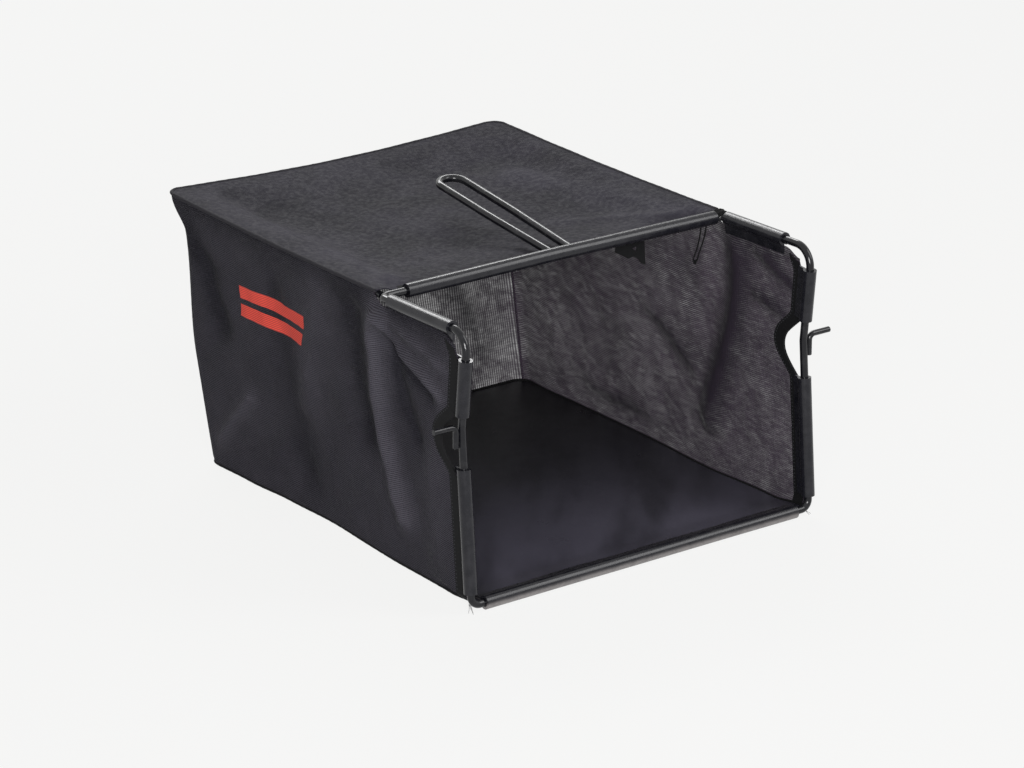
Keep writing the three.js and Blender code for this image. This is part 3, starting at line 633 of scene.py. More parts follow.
def clip_plastic(name, stretch, drag_wear_and_reflection=False):
    """Extruded satin plastic, with scuffs and with fine lines along its run. The clip under the
    mouth is paler on its lower half, for wear where it drags and as a painted reflection of the pale floor."""
    shader = Shader(name, (0.012, 0.012, 0.014), 0.3, Specular_IOR_Level=0.2,
                    Coat_Weight=0.25, Coat_Roughness=0.15)
    lines = shader.noise(380, 2, vector=shader.stretched(stretch))
    scuffs = shader.noise(90, 4)
    paler_share, pale = scuffs.spread(0.3, 0.8) * 0.1, (0.10, 0.097, 0.104)
    if drag_wear_and_reflection:
        # Paler lower half: wear where the clip drags, and a painted reflection of the pale floor
        low = shader.axis("Z").spread(WEAR_AND_REFLECTION_END * MM, WEAR_AND_REFLECTION_FULL * MM, 0.0, 0.9)
        paler_share, pale = paler_share * 0.3 + low * scuffs.spread(0.1, 0.6, 0.6, 1.0), (0.24, 0.224, 0.22)
    shader.colour(paler_share, (0.007, 0.007, 0.010), pale)
    shader.roughness(scuffs, 0.22, 0.34)
    shader.bump(lines + scuffs * 0.6, 0.02, 0.1)
    return shader.material


def top_cloth():
    """Coated woven cloth with a fine leathery grain, paler patches at random, painted light on its fold
    crests and painted shade in its valleys.
    """
    shader = Shader("top_cloth", (0.026, 0.025, 0.030), 0.62, Sheen_Weight=0.02,
                    Sheen_Roughness=0.5, Specular_IOR_Level=0.05)
    weave = shader.threads("X", 1.1, 1.0) * shader.threads("Y", 1.1, 1.0)
    patches = shader.noise(16, 4).spread(0.3, 0.7, 0.0, 0.6)
    # Paler patches at random, with painted light on fold crests and painted shade in fold valleys
    paleness = (patches + shader.attribute("painted_fold_shading") * 0.8).clamped()
    shader.colour(paleness, (0.012, 0.0112, 0.0158), (0.034, 0.0315, 0.043))
    shader.roughness(shader.noise(200, 3), 0.52, 0.72)
    shader.bump(shader.cells(420) + weave * 0.4 + shader.noise(900, 3), 0.30, 0.45)
    return shader.material


INNER_TINT = (1.2, 0.96, 1.1)


def mesh_cloth(name, across, up, pitch, low, high, thread_see, hole_see, grid, grain):
    """Open woven mesh: threads in two directions with small holes between them.

    The pleat attribute says where a fold doubles the cloth, and less light comes through; there the
    colour is also darkened as painted shade. Fold crests get painted light and fold valleys painted
    shade. Light that has come through the threads warms the inner face.
    """
    shader = Shader(name, low, 0.75, Sheen_Weight=0.02, Sheen_Roughness=0.45, Specular_IOR_Level=0.08)
    weft, warp = shader.threads(up, pitch, 0.5), shader.threads(across, pitch, 0.5)
    painted_fold_shading, pleat = shader.attribute("painted_fold_shading"), shader.attribute("pleat")
    patches = shader.noise(22, 4)
    # Paler patches at random, painted light on fold crests, and painted shade in fold valleys and where a
    # fold doubles the cloth
    paleness = patches + painted_fold_shading * 0.65 - pleat * 0.8
    shade = (weft.spread(0.0, 1.0, 0.3, 1.0) * paleness).clamped()
    inner = [tuple(c * tint for c, tint in zip(tone, INNER_TINT)) for tone in (low, high)]
    shader.colour(shader.attribute("inner"), shade.blend(low, high), shade.blend(*inner))
    shader.roughness(patches, 0.65, 0.85)
    slots = 1.0 - weft.spread(0.0, 1.0)
    cover = 1.0 - slots * warp.spread(0.2, 0.9, 1.0, grid)
    see = cover.spread(0.0, 1.0, hole_see, thread_see)
    fine = shader.noise(190, 5, 0.75, shader.stretched((0.5, 0.4, 1.4))).spread(0.3, 0.7, *grain)
    broad = shader.noise(20, 5, 0.65).spread(0.34, 0.66, 0.82, 1.14)
    strokes = shader.noise(15, 4, 0.6, shader.stretched((1, 0.4, 1.5), tilt=40))
    creases = abs(strokes - 0.5).spread(0.0, 0.035, 0.72, 1.0)
    see = see * (fine * broad * creases) * (1.0 - pleat)
    feed(shader.surface["Alpha"], (1.0 - see).clamped())
    shader.bump(weft + warp, 0.35, 0.6)
    return shader.material


# How far behind the mouth plane the floor's painted light starts, and where it is full
FLOOR_LIGHT_START = 420
FLOOR_LIGHT_FULL = -40


def floor_sheet():
    """Coated floor sheet, smooth enough to mirror the walls softly, with painted light that makes it paler
    toward the mouth, painted shade toward the rear and painted reflection streaks.
    """
    shader = Shader("floor_sheet", (0.02, 0.019, 0.025), 0.34, Specular_IOR_Level=0.22)
    # Painted reflection streaks along the view, and painted light that makes the floor paler toward the
    # mouth and darker toward the rear
    reflection_streaks = shader.noise(15, 3, vector=shader.stretched((1, 0.25, 1), -36))
    paler_share = shader.axis("Y").spread((MOUTH_Y + FLOOR_LIGHT_START) * MM, (MOUTH_Y + FLOOR_LIGHT_FULL) * MM)
    paler_share = paler_share * reflection_streaks.spread(0.32, 0.62, 0.4, 1.0)
    shader.colour(paler_share, (0.004, 0.004, 0.005), (0.070, 0.066, 0.089))
    shader.roughness(shader.noise(14, 4), 0.27, 0.42)
    shader.bump(shader.noise(120, 4) + shader.threads("X", 1.5), 0.12, 0.25)
    return shader.material


def trim_tape(name, colour, roughness=0.8):
    """Woven tape and thread."""
    shader = Shader(name, colour, roughness, Specular_IOR_Level=0.15)
    dark, light = (tuple(share * c for c in colour) for share in (0.75, 1.3))
    shader.colour(shader.noise(260, 3), dark, light)
    shader.bump(shader.threads("Z", 0.9, 0.3) + shader.noise(700, 3), 0.2, 0.5)
    return shader.material


def printed_colour():
    """Coral ink on the mesh, thinner between the threads."""
    shader = Shader("printed_colour", (0.60, 0.07, 0.05), 0.7, Specular_IOR_Level=0.15)
    weft = shader.threads("Z", 2.0, 0.5)
    shader.colour(weft, (0.46, 0.055, 0.042), (0.92, 0.11, 0.08))
    shader.bump(weft, 0.3, 0.5)
    return shader.material


paint = frame_paint()
clip_along = {
    "x": clip_plastic("clip_plastic_x", (0.02, 1, 1)),
    "y": clip_plastic("clip_plastic_y", (1, 0.02, 1)),
    "z": clip_plastic("clip_plastic_z", (1, 1, 0.02)),
    "ground": clip_plastic("clip_plastic_ground", (0.02, 1, 1), drag_wear_and_reflection=True),
}
top_material = top_cloth()
side_material = mesh_cloth(
    "side_mesh", across="Y", up="Z", pitch=2.0, low=(0.018, 0.0172, 0.0225), high=(0.082, 0.078, 0.094),
    thread_see=0.08, hole_see=0.47, grid=0.45, grain=(0.52, 1.34))
rear_material = mesh_cloth(
    "rear_mesh", across="Z", up="X", pitch=2.8, low=(0.012, 0.011, 0.016), high=(0.064, 0.057, 0.073),
    thread_see=0.18, hole_see=0.53, grid=0.75, grain=(0.74, 1.16))
floor_material = floor_sheet()
tape_material = trim_tape("trim_tape", (0.0045, 0.0045, 0.005))
piping_material = trim_tape("cloth_piping", (0.022, 0.021, 0.025), 0.75)
thread_material = trim_tape("sewing_thread", (0.028, 0.028, 0.032), 0.7)
cut_thread_material = trim_tape("cut_thread", (0.30, 0.30, 0.30), 0.7)
ink_material = printed_colour()


# Ties under the crossbar hem

CORD_WIDTH = 1.6
CORD_SETBACK = 11
KNOT_SIZE = 0.75
STRAP_SETBACK = 11
STRAP_THICKNESS = 1.2
STRAP_EDGE = 0.2
STRAP_OUTLINE = [
    (83, 0), (83, 9.5), (100, 19), (106, 18), (112, 21.5), (116.5, 27.5), (121.5, 30), (119.5, 0),
]
STRAP_HOLE = [(104, 9), (110.5, 7.5), (110, 14)]

# The loop's points in metres, as [x, depth below the hem]
CORD_ROUTE = [
    (0.1945, 0.0), (0.1943, 0.004), (0.1936, 0.010), (0.1922, 0.017), (0.1902, 0.024), (0.1876, 0.0305),
    (0.1854, 0.0346), (0.1852, 0.0374), (0.1872, 0.0392), (0.1898, 0.0384), (0.191, 0.0356), (0.193, 0.030),
    (0.196, 0.023), (0.1986, 0.016), (0.2004, 0.009), (0.2012, 0.004), (0.2014, 0.0),
]


def crown_at(x):
    return CROSSBAR_CROWN * (1 - np.minimum(np.abs(x) / FRAME_HALF_WIDTH, 1))


def hem_under_z(x, y):
    under = CLIP_FIN_THICKNESS - CLIP_FIN_TOP
    along = (y - CROSSBAR_Y + under * math.sin(CROSSBAR_DROP)) / math.cos(CROSSBAR_DROP)
    fall = along * math.sin(CROSSBAR_DROP) + under * math.cos(CROSSBAR_DROP)
    return CROSSBAR_Z + crown_at(x) - fall


def knot_points(centre, size):
    turns = np.linspace(0, 2 * math.pi, 60, endpoint=False)
    shape = np.stack([np.sin(turns) + 2 * np.sin(2 * turns), 0.8 * np.sin(3 * turns),
                      np.cos(turns) - 2 * np.cos(2 * turns)], -1)
    return centre + shape * size


def poly_curve(name, lines, closed, **settings):
    """A curve object whose lines run straight from point to point."""
    curve = bpy.data.curves.new(name, "CURVE")
    for setting, value in settings.items():
        setattr(curve, setting, value)
    for line in lines:
        spline = curve.splines.new("POLY")
        spline.use_cyclic_u = closed
        spline.points.add(len(line) - 1)
        for place, target in zip(line, spline.points):
            target.co = (*place, 1)
    return put_in_scene(name, curve)


def make_cord():
    middle = CROSSBAR_Y + CORD_SETBACK
    top = float(hem_under_z(FRAME_HALF_WIDTH, middle + CORD_WIDTH / 2)) - GAP
    points = np.array([(x / MM, middle, top - depth / MM) for x, depth in CORD_ROUTE])
    route = to_part(points)
    cord = poly_curve("tie_cord_loop", [route], False, dimensions="3D", bevel_depth=CORD_WIDTH / 2 * MM,
                      bevel_resolution=4, use_fill_caps=True)
    cord.data.materials.append(tape_material)
    knot_line = knot_points(points[np.argmin(points[:, 2])], KNOT_SIZE)
    knot = tube("tie_cord_knot", np.vstack([knot_line, knot_line[:1]]), CORD_WIDTH, tape_material, 8)
    dress(cord, "trim", "tie_cord")
    dress(knot, "trim")


def make_strap():
    """The strap, drawn flat as a curve and stood up behind the crossbar."""
    back = CROSSBAR_Y + STRAP_SETBACK
    top = float(hem_under_z(max(x for x, _ in STRAP_OUTLINE), back)) - GAP
    lines = [[(x * MM, (top - depth) * MM, 0) for x, depth in line] for line in (STRAP_OUTLINE, STRAP_HOLE)]
    drawn = poly_curve("tie_tab_line", lines, True, dimensions="2D", fill_mode="BOTH",
                       extrude=(STRAP_THICKNESS / 2 - STRAP_EDGE) * MM, bevel_depth=STRAP_EDGE * MM)
    mesh = shown_mesh(drawn)
    bpy.data.objects.remove(drawn)
    for vertex in mesh.vertices:
        x, z, out = vertex.co
        vertex.co = (x, (back - STRAP_THICKNESS / 2 + MOUTH_Y) * MM - out, z)
    mesh.materials.clear()
    mesh.materials.append(tape_material)
    dress(put_in_scene("tie_tab", mesh), "trim", "tie_strap")


make_cord()
make_strap()

# Frame, bow, handle and hooks

BOTTOM_Z = CLIP_OUTER / 2
WIRE_RADIUS = FRAME_WIRE / 2


def upright_y(z):
    below = HOOK_SETBACK * (z - BOTTOM_Z) / (HOOK_HEIGHT - BOTTOM_Z)
    above = mix(HOOK_SETBACK, SHOULDER_SETBACK, (z - HOOK_HEIGHT) / (FRAME_HEIGHT - HOOK_HEIGHT))
    return np.where(z < HOOK_HEIGHT, below, above)


def shoulder_z(y):
    return mix(FRAME_HEIGHT, CROSSBAR_Z, (y - SHOULDER_SETBACK) / (CROSSBAR_Y - SHOULDER_SETBACK))


def make_frame():
    def half(side):
        x = side * FRAME_HALF_WIDTH
        return [
            ((x, 0, BOTTOM_Z), FRAME_BOTTOM_BEND),
            ((x, HOOK_SETBACK, HOOK_HEIGHT), FRAME_TOP_BEND),
            ((x, SHOULDER_SETBACK, FRAME_HEIGHT), FRAME_TOP_BEND),
            ((x, CROSSBAR_Y, CROSSBAR_Z), CROSSBAR_BEND),
        ]
    crown = ((0, CROSSBAR_Y, CROSSBAR_Z + CROSSBAR_CROWN), CROWN_BEND)
    first, last = (((side * BUTT_HALF_GAP, 0, BOTTOM_Z), 0) for side in (1, -1))
    corners = [first, *half(1), crown, *half(-1)[::-1], last]
    dress(tube("frame_wire", bent_path(corners), FRAME_WIRE, paint, 24), "frame_paint", "front_frame")


def bow_z(y):
    t = np.clip((y - CROSSBAR_Y) / (BAG_LENGTH_TOP - CROSSBAR_Y), 0, 1)
    return CROSSBAR_Z - BOW_SAG * np.sin(math.pi * t)


def make_bow():
    rear_y = BAG_LENGTH_TOP - CLOTH_HALF - GAP - BOW_WIRE / 2 - BOW_BACK_CLEARANCE
    start = CROSSBAR_Y + WIRE_RADIUS + GAP
    dip = BOW_REAR_DIP + BOW_SLACK

    def arm(side):
        places = [mix(start, rear_y, t) for t in (0, 0.25, 0.5, 0.75)]
        return [((side * BOW_HALF_WIDTH, y, float(bow_z(y))), BOW_CURVE) for y in places]

    def rear(share):
        place = (share * BOW_HALF_WIDTH, rear_y, CROSSBAR_Z - dip * math.cos(math.pi * share / 2))
        return (place, BOW_BEND if abs(share) == 1 else BOW_CURVE)

    corners = [*arm(-1), *map(rear, (-1, -0.5, 0, 0.5, 1)), *arm(1)[::-1]]
    dress(tube("bow_wire", bent_path(corners), BOW_WIRE, paint, 20), "frame_paint", "rear_bow")


def make_handle():
    root_y, end_y = CROSSBAR_Y + HANDLE_ROOT_INSET, CROSSBAR_Y + HANDLE_REACH
    radius = HANDLE_END_SPACING / 2
    middle_y, middle_z = mix(root_y, end_y, 0.5), mix(HANDLE_ROOT_Z, HANDLE_END_Z, 0.5)

    def leg(side):
        return [
            ((HANDLE_X + side * HANDLE_ROOT_SPACING / 2, root_y, HANDLE_ROOT_Z), 0),
            ((HANDLE_X + side * radius, middle_y, middle_z), HANDLE_CURVE),
            ((HANDLE_X + side * radius, end_y, HANDLE_END_Z), radius - HANDLE_BEND_SLACK),
        ]
    path = bent_path([*leg(-1), *leg(1)[::-1]])
    dress(tube("handle_loop", path, HANDLE_WIRE, paint, 24), "frame_paint", "carry_handle")


def bead_parts(centre, size, seed):
    """Vertices and faces of a lumpy bead, of weld metal or of bunched cloth."""
    random = np.random.default_rng(seed)
    lumps = random.uniform(0, 2 * math.pi, 4)
    vertices = []
    around, along = 16, 12
    for j in range(along + 1):
        polar = math.pi * (0.02 + 0.96 * j / along)
        for i in range(around):
            turn = 2 * math.pi * i / around
            bulge = 1 + 0.10 * math.sin(3 * turn + 5 * polar + lumps[0])
            bulge += 0.08 * math.sin(9 * polar + lumps[1])
            flat = math.sin(polar)
            direction = np.array([flat * math.cos(turn), flat * math.sin(turn), math.cos(polar)])
            vertices.append(np.array(centre) + direction * size * bulge)
    return vertices, ring_faces(along + 1, around)


def make_hook(name, side):
    weld_x = side * (FRAME_HALF_WIDTH + WIRE_RADIUS)
    leg_x = weld_x + side * (GAP + HOOK_ROD / 2)
    path = bent_path([
        ((leg_x, HOOK_Y, HOOK_LEG_BOTTOM), 0),
        ((leg_x, HOOK_Y, HOOK_PEG_Z), HOOK_BEND),
        ((leg_x + side * HOOK_PEG_REACH, HOOK_Y, HOOK_PEG_Z), 0),
    ])
    leg_chamfer = path[0] + [0, 0, HOOK_CHAMFER]
    peg_chamfer = path[-1] - [side * HOOK_CHAMFER, 0, 0]
    path = np.vstack([path[:1], leg_chamfer, path[1:-1], peg_chamfer, path[-1:]])
    radii = np.full(len(path), HOOK_ROD / 2)
    radii[0] = radii[-1] = HOOK_TIP_RADIUS
    parts = [tube_parts(path, radii, 20)]
    for height, seed in WELD_BEADS:
        parts.append(bead_parts((weld_x, HOOK_Y + WELD_SETBACK, height), WELD_SIZE, seed + side))
    dress(add_mesh(f"{name}_hook_peg", *joined(parts), paint), "frame_paint", f"{name}_hook")


# Edge clips: a C round the wire, open beside a flat fin. An extruded clip wanders, twists and
# flutters a little along its way.

CLIP_STEP = 6
CLIP_WANDER, WANDER_LENGTH = 0.066, 31
CLIP_TWIST, TWIST_LENGTH = 0.012, 47
FIN_FLUTTER, FLUTTER_LENGTH = 0.35, 19

# Angles left off where the arcs of a section meet, and the notches for the handle's legs
CLIP_END_TURN = 0.16
LIP_END_TURN = 0.4
NOTCH_CLEARANCE = 0.9
NOTCH_RISE = 1.6


def arc(centre, radius, start, end, count):
    turns = np.linspace(start, end, count)
    return np.stack([centre[0] + radius * np.cos(turns), centre[1] + radius * np.sin(turns)], -1)


def clip_section():
    outer, inner = CLIP_OUTER / 2, CLIP_BORE / 2
    fin_bottom = CLIP_FIN_TOP - CLIP_FIN_THICKNESS
    half = CLIP_FIN_THICKNESS / 2
    middle = (outer + inner) / 2
    lip_at = (middle * math.cos(CLIP_SLIT), middle * math.sin(CLIP_SLIT))
    lip_turns = (math.pi + CLIP_SLIT + LIP_END_TURN, CLIP_SLIT + 2 * math.pi - LIP_END_TURN)
    last = 2 * math.pi + math.asin(fin_bottom / outer)
    mouth = math.asin(CLIP_FIN_TOP / inner) + 2 * math.pi
    start = CLIP_SLIT + CLIP_END_TURN / 2
    return np.concatenate([
        arc((0, 0), outer, start, last - CLIP_END_TURN, 44),
        arc((FIN_SEEN - half, CLIP_FIN_TOP - half), half, -math.pi / 2, math.pi / 2, 9),
        arc((0, 0), inner, mouth, start, 36),
        arc(lip_at, (outer - inner) / 2, *lip_turns, 7)[1:-1],
    ])


def clip(name, path, fin, outward, material, seed):
    """A clip along a nearly straight path, with the cloth's way out as its fin."""
    path = np.asarray(path, float)
    run = unit(path[-1] - path[0])
    x_axis = unit(np.array(fin, float) - (np.array(fin, float) @ run) * run)
    y_axis = np.array(outward, float)
    y_axis = y_axis - (y_axis @ x_axis) * x_axis
    y_axis = unit(y_axis - (y_axis @ run) * run)
    section = clip_section()
    random = np.random.default_rng(seed)
    phase = random.uniform(0, 2 * math.pi, 3)
    vertices = []
    for centre, length in zip(path, lengths_along(path)):
        wander = CLIP_WANDER * math.sin(length / WANDER_LENGTH + phase[0])
        twist = CLIP_TWIST * math.sin(length / TWIST_LENGTH + phase[1])
        c, s = math.cos(twist), math.sin(twist)
        reach = np.clip((section[:, 0] - CLIP_OUTER / 2) / (CLIP_FIN - CLIP_OUTER / 2), 0, 1)
        flutter = FIN_FLUTTER * reach * math.sin(length / FLUTTER_LENGTH + phase[2])
        x = c * section[:, 0] - s * section[:, 1]
        y = s * section[:, 0] + c * section[:, 1] + flutter
        vertices.extend(centre + np.outer(x, x_axis) + np.outer(y + wander, y_axis))
    faces = ring_faces(len(path), len(section))
    return add_mesh(name, vertices, faces, material, crease=math.radians(35))


def run_of(place, span):
    count = max(2, int(abs(span[1] - span[0]) / CLIP_STEP))
    return np.array([place(value) for value in np.linspace(span[0], span[1], count + 1)])


def make_clips():
    crossbar = clip(
        "crossbar_sleeve",
        run_of(lambda x: (x, CROSSBAR_Y, CROSSBAR_Z + crown_at(x)), CROSSBAR_SPAN),
        (0, math.cos(CROSSBAR_DROP), -math.sin(CROSSBAR_DROP)),
        (0, math.sin(CROSSBAR_DROP), math.cos(CROSSBAR_DROP)),
        clip_along["x"], 1)
    for side in (-1, 1):
        leg_x = HANDLE_X + side * HANDLE_ROOT_SPACING / 2
        start = CROSSBAR_Y + HANDLE_ROOT_INSET - NOTCH_CLEARANCE
        ends = [(leg_x, start, HANDLE_ROOT_Z), (leg_x, start + CLIP_OUTER, HANDLE_ROOT_Z + NOTCH_RISE)]
        cut(crossbar, tube("notch", ends, HANDLE_WIRE + 2 * NOTCH_CLEARANCE, clip_along["x"], 24))
    dress(crossbar, "clip_plastic", "crossbar_clip")
    bottom = clip("bottom_sleeve", run_of(lambda x: (x, 0, BOTTOM_Z), BOTTOM_SPAN),
                  (0, 1, 0), (0, 0, -1), clip_along["ground"], 2)
    dress(bottom, "clip_plastic", "bottom_clip")
    for name, side in SIDES:
        x = side * FRAME_HALF_WIDTH
        for row, span in (("lower", LOWER_SPAN), ("upper", UPPER_SPAN[side])):
            sleeve = clip(f"{name}_{row}_sleeve", run_of(lambda z: (x, float(upright_y(z)), z), span),
                          (0, 1, 0), (side, 0, 0), clip_along["z"], 3 + span[0] + side)
            dress(sleeve, "clip_plastic", f"{name}_{row}_clip")
        run = run_of(lambda y: (x, y, shoulder_z(y)), SHOULDER_SPAN[side])
        sleeve = clip(f"{name}_shoulder_sleeve", run, (0, 0, -1), (side, 0, 0), clip_along["y"], 9 + side)
        dress(sleeve, "clip_plastic", f"{name}_shoulder_clip")


make_frame()
make_bow()
make_handle()
for name, side in SIDES:
    make_hook(name, side)
make_clips()

# The bag's outer form

TOP_Z = CROSSBAR_Z + TOP_SEAM_RISE
CORNER_INSET = BAG_CORNER * (1 - math.sqrt(0.5))
CLIP_REACH = CLIP_OUTER / 2 + CLIP_SEAT
SIDE_X = FRAME_HALF_WIDTH + CLOTH_OFFSET
TOP_SEAM_X = SIDE_X + TOP_SEAM_OUT

# Where the bag's edges and faces change from one form to the next, past a corner, the
# crossbar, the fin of a front clip or the top, from and to
FREE_CORNER_TURN = 22
SHOULDER_TO_SEAM = (-4, 18)
DRAWN_IN_FROM_FRONT = (5, 80)
FOLDS_FROM_FRONT = (6, 40)
FOLDS_FROM_TOP = (-4, 16)
FLOOR_LINE_TO_CLIP = (4, LOWER_SPAN[0] - 5)
WIRE_BAND_EASE = 20
TOP_END_EASE = 110
DRAWN_IN_CURVE = 1.3
CUTOUT_CURVE = 1.2
PINCH_CURVE = 5
FLOOR_CLEARANCE = 0.2
FLOOR_SWELL = 0.5

# Shares of the floor's width and length over which its swell sets in
SWELL_FROM_SIDES = (0.02, 0.2)
SWELL_FROM_FRONT = (0.05, 0.25)

# Unevenness of each cloth: how much, and its seed
SIDE_RIPPLE, SIDE_SEED = 0.7, 20
TOP_RIPPLE, TOP_SEED = 0.4, 31
REAR_RIPPLE, REAR_SEED = 0.5, 41
FLOOR_RIPPLE, FLOOR_SEED = 0.35, 51


def ease_past(edge, span, value):
    return ease(edge + span[0], edge + span[1], value)


def free_of_edges(s, t, sides, front, rear):
    """0 at the edges of a surface and 1 past these shares of it."""
    return ease(0, sides, s) * ease(0, sides, 1 - s) * ease(0, front, t) * ease(0, rear, 1 - t)


def back_y(z):
    return mix(BAG_LENGTH_FLOOR, BAG_LENGTH_TOP, z / TOP_Z)


def pinch(z):
    below = ease(CORNER_PINCH_END, CORNER_PINCH_DEEPEST, z)
    return CORNER_PINCH * below * (1 - ease(CORNER_PINCH_DEEPEST, CORNER_PINCH_TOP, z))


def floor_lift(y):
    start = CLIP_OUTER / 2
    return FRONT_LIFT * (1 - ease(start, start + FRONT_LIFT_LENGTH, y))


def seam_z(y):
    return bow_z(y) + TOP_SEAM_RISE


def drawn_in(side, y, z):
    at_floor = ease_through(FLOOR_INSET[side], y)
    height = np.clip(z / (TOP_Z - CLIP_OUTER / 2 - CLIP_FIN), 0, 1)
    clear = ease_past(CLIP_FIN, DRAWN_IN_FROM_FRONT, y - upright_y(z))
    near_floor = 1 - ease(*FLOOR_LINE_TO_CLIP, z)
    return at_floor * mix(near_floor, (1 - height) ** DRAWN_IN_CURVE, clear)


def corner_round(distance):
    into = np.clip(BAG_CORNER - distance, 0, BAG_CORNER)
    return BAG_CORNER - np.sqrt(BAG_CORNER ** 2 - into ** 2)


def between(bottom, top, front, rear):
    """A surface spanned between four edges that meet at their ends."""
    def surface(s, t):
        result = []
        for k in (0, 1):
            across = mix(bottom(s)[k], top(s)[k], t) + mix(front(t)[k], rear(t)[k], s)
            low = mix(bottom(0.0)[k], bottom(1.0)[k], s)
            high = mix(top(0.0)[k], top(1.0)[k], s)
            result.append(across - mix(low, high, t))
        return result
    return surface


def side_surface(side):
    notch_z, notch_half, notch_depth = CUTOUT[side]

    def low(y):
        return SEAM + SEAM_LIFT - SEAM_TUCK + floor_lift(y)

    def front(t):
        z = mix(low(CLIP_REACH), FREE_CORNER_Z, t)
        cut_in = np.cos(math.pi / 2 * np.minimum(np.abs(z - notch_z) / notch_half, 1))
        turn = FREE_CORNER_Y - upright_y(FREE_CORNER_Z) - CLIP_REACH
        turn = turn * ease(FREE_CORNER_Z - FREE_CORNER_TURN, FREE_CORNER_Z, z)
        return upright_y(z) + CLIP_REACH + notch_depth * np.abs(cut_in) ** CUTOUT_CURVE + turn, z

    def rear(t):
        z = mix(low(BAG_LENGTH_FLOOR), seam_z(BAG_LENGTH_TOP) - TOP_SEAM / 2 + SEAM_TUCK, t)
        return back_y(z) - pinch(z) - CORNER_INSET + CORNER_OVERLAP, z

    def top_edge(y):
        under_clip = shoulder_z(y) - CLIP_OUTER / 2 - CLIP_SEAT
        rise = mix(FREE_CORNER_Z, under_clip, ease(FREE_CORNER_Y, FREE_CORNER_Y + FREE_CORNER_TURN, y))
        behind = seam_z(y) - TOP_SEAM / 2 + SEAM_TUCK
        return mix(rise, behind, ease_past(CROSSBAR_Y, SHOULDER_TO_SEAM, y))

    def bottom(s):
        y = mix(front(0.0)[0], rear(0.0)[0], s)
        return y, low(y)

    def top(s):
        y = mix(front(1.0)[0], rear(1.0)[0], s)
        return y, top_edge(y)

    flat = between(bottom, top, front, rear)

    def surface(s, t):
        y, z = flat(s, t)
        clear = ease_past(CLIP_FIN, FOLDS_FROM_FRONT, y - upright_y(z))
        clear = clear * ease_past(CLIP_FIN, FOLDS_FROM_TOP, TOP_Z - z)
        to_back = back_y(z) - pinch(z) - y
        free = clear * ease(BAG_CORNER / 2, 3 * BAG_CORNER, to_back) * ease(SEAM, 10 * SEAM, z)
        belly = SIDE_BELLY * np.sin(math.pi * s) * np.sin(math.pi * t)
        folds = fold_height(SIDE_FOLDS[side], y, z) + SIDE_RIPPLE * ripples(y, z, SIDE_SEED + side)
        x = SIDE_X - drawn_in(side, y, z) + free * (folds - belly) - corner_round(to_back)
        return np.stack([side * x, y, z], -1)
    return surface


def rear_dip(x):
    return BOW_REAR_DIP * np.cos(math.pi / 2 * np.minimum(np.abs(x) / FRAME_HALF_WIDTH, 1))


def cloth_at_crossbar_z(x):
    below = CLIP_REACH * math.sin(CROSSBAR_DROP) - CLOTH_OFFSET * math.cos(CROSSBAR_DROP)
    return CROSSBAR_Z + crown_at(x) - below


def top_z_at(x, y):
    inward = FRAME_HALF_WIDTH - np.abs(x)
    wire_band = FRAME_HALF_WIDTH - BOW_HALF_WIDTH + BOW_WIRE / 2 + 1
    at_seam = seam_z(y) + TOP_CLOTH_RISE
    at_front = mix(at_seam, cloth_at_crossbar_z(x), ease(wire_band, wire_band + WIRE_BAND_EASE, inward))
    middle = at_seam - TOP_SAG * ease(wire_band, TOP_EDGE_BAND, inward)
    behind_clip = ease(CROSSBAR_Y + CLIP_REACH, CROSSBAR_Y + TOP_END_EASE, y)
    toward_rear = ease(BAG_LENGTH_TOP - TOP_END_EASE, BAG_LENGTH_TOP, y)
    return mix(mix(at_front, middle, behind_clip), at_seam - rear_dip(x), toward_rear)


def top_surface():
    front_y = CROSSBAR_Y + CLIP_REACH * math.cos(CROSSBAR_DROP) + CLOTH_OFFSET * math.sin(CROSSBAR_DROP)
    half = TOP_SEAM_X - TOP_SEAM / 2 + SEAM_TUCK
    rear_y = BAG_LENGTH_TOP - TOP_SEAM / 2 + SEAM_TUCK

    def left(t):
        y = mix(front_y, rear_y - CORNER_INSET, t)
        return -half + corner_round(rear_y - y), y

    def right(t):
        x, y = left(t)
        return -x, y

    def front(s):
        return mix(-half, half, s), front_y + 0 * s

    def rear(s):
        x = mix(left(1.0)[0], right(1.0)[0], s)
        return x, rear_y - corner_round(half - np.abs(x))

    flat = between(front, rear, left, right)

    def surface(s, t):
        x, y = flat(s, t)
        free = free_of_edges(s, t, sides=0.12, front=0.08, rear=0.12)
        folds = fold_height(TOP_FOLDS, x, y) + TOP_RIPPLE * ripples(x, y, TOP_SEED)
        return np.stack([x, y, top_z_at(x, y) + free * folds], -1)
    return surface


def rear_surface():
    low = SEAM + SEAM_LIFT - SEAM_TUCK
    high = seam_z(BAG_LENGTH_TOP) - TOP_SEAM / 2 + SEAM_TUCK

    def edge_x(z):
        y = back_y(z) - pinch(z) - CORNER_INSET
        inset = (drawn_in(-1, y, z) + drawn_in(1, y, z)) / 2
        return SIDE_X - inset - CORNER_INSET + CORNER_OVERLAP

    def surface(s, t):
        z = mix(low, high, t)
        side = 2 * s - 1
        x = side * edge_x(z)
        to_side = edge_x(z) + CORNER_INSET - CORNER_OVERLAP - np.abs(x)
        dip = BOW_REAR_DIP * np.cos(math.pi / 2 * side) * ease(0.5, 1, t)
        free = free_of_edges(s, t, sides=0.1, front=0.12, rear=0.12)
        y = back_y(z) - pinch(z) * np.abs(side) ** PINCH_CURVE - corner_round(to_side)
        folds = fold_height(REAR_FOLDS, x, z) + REAR_RIPPLE * ripples(x, z, REAR_SEED)
        return np.stack([x, y + free * folds, z - dip], -1)
    return surface


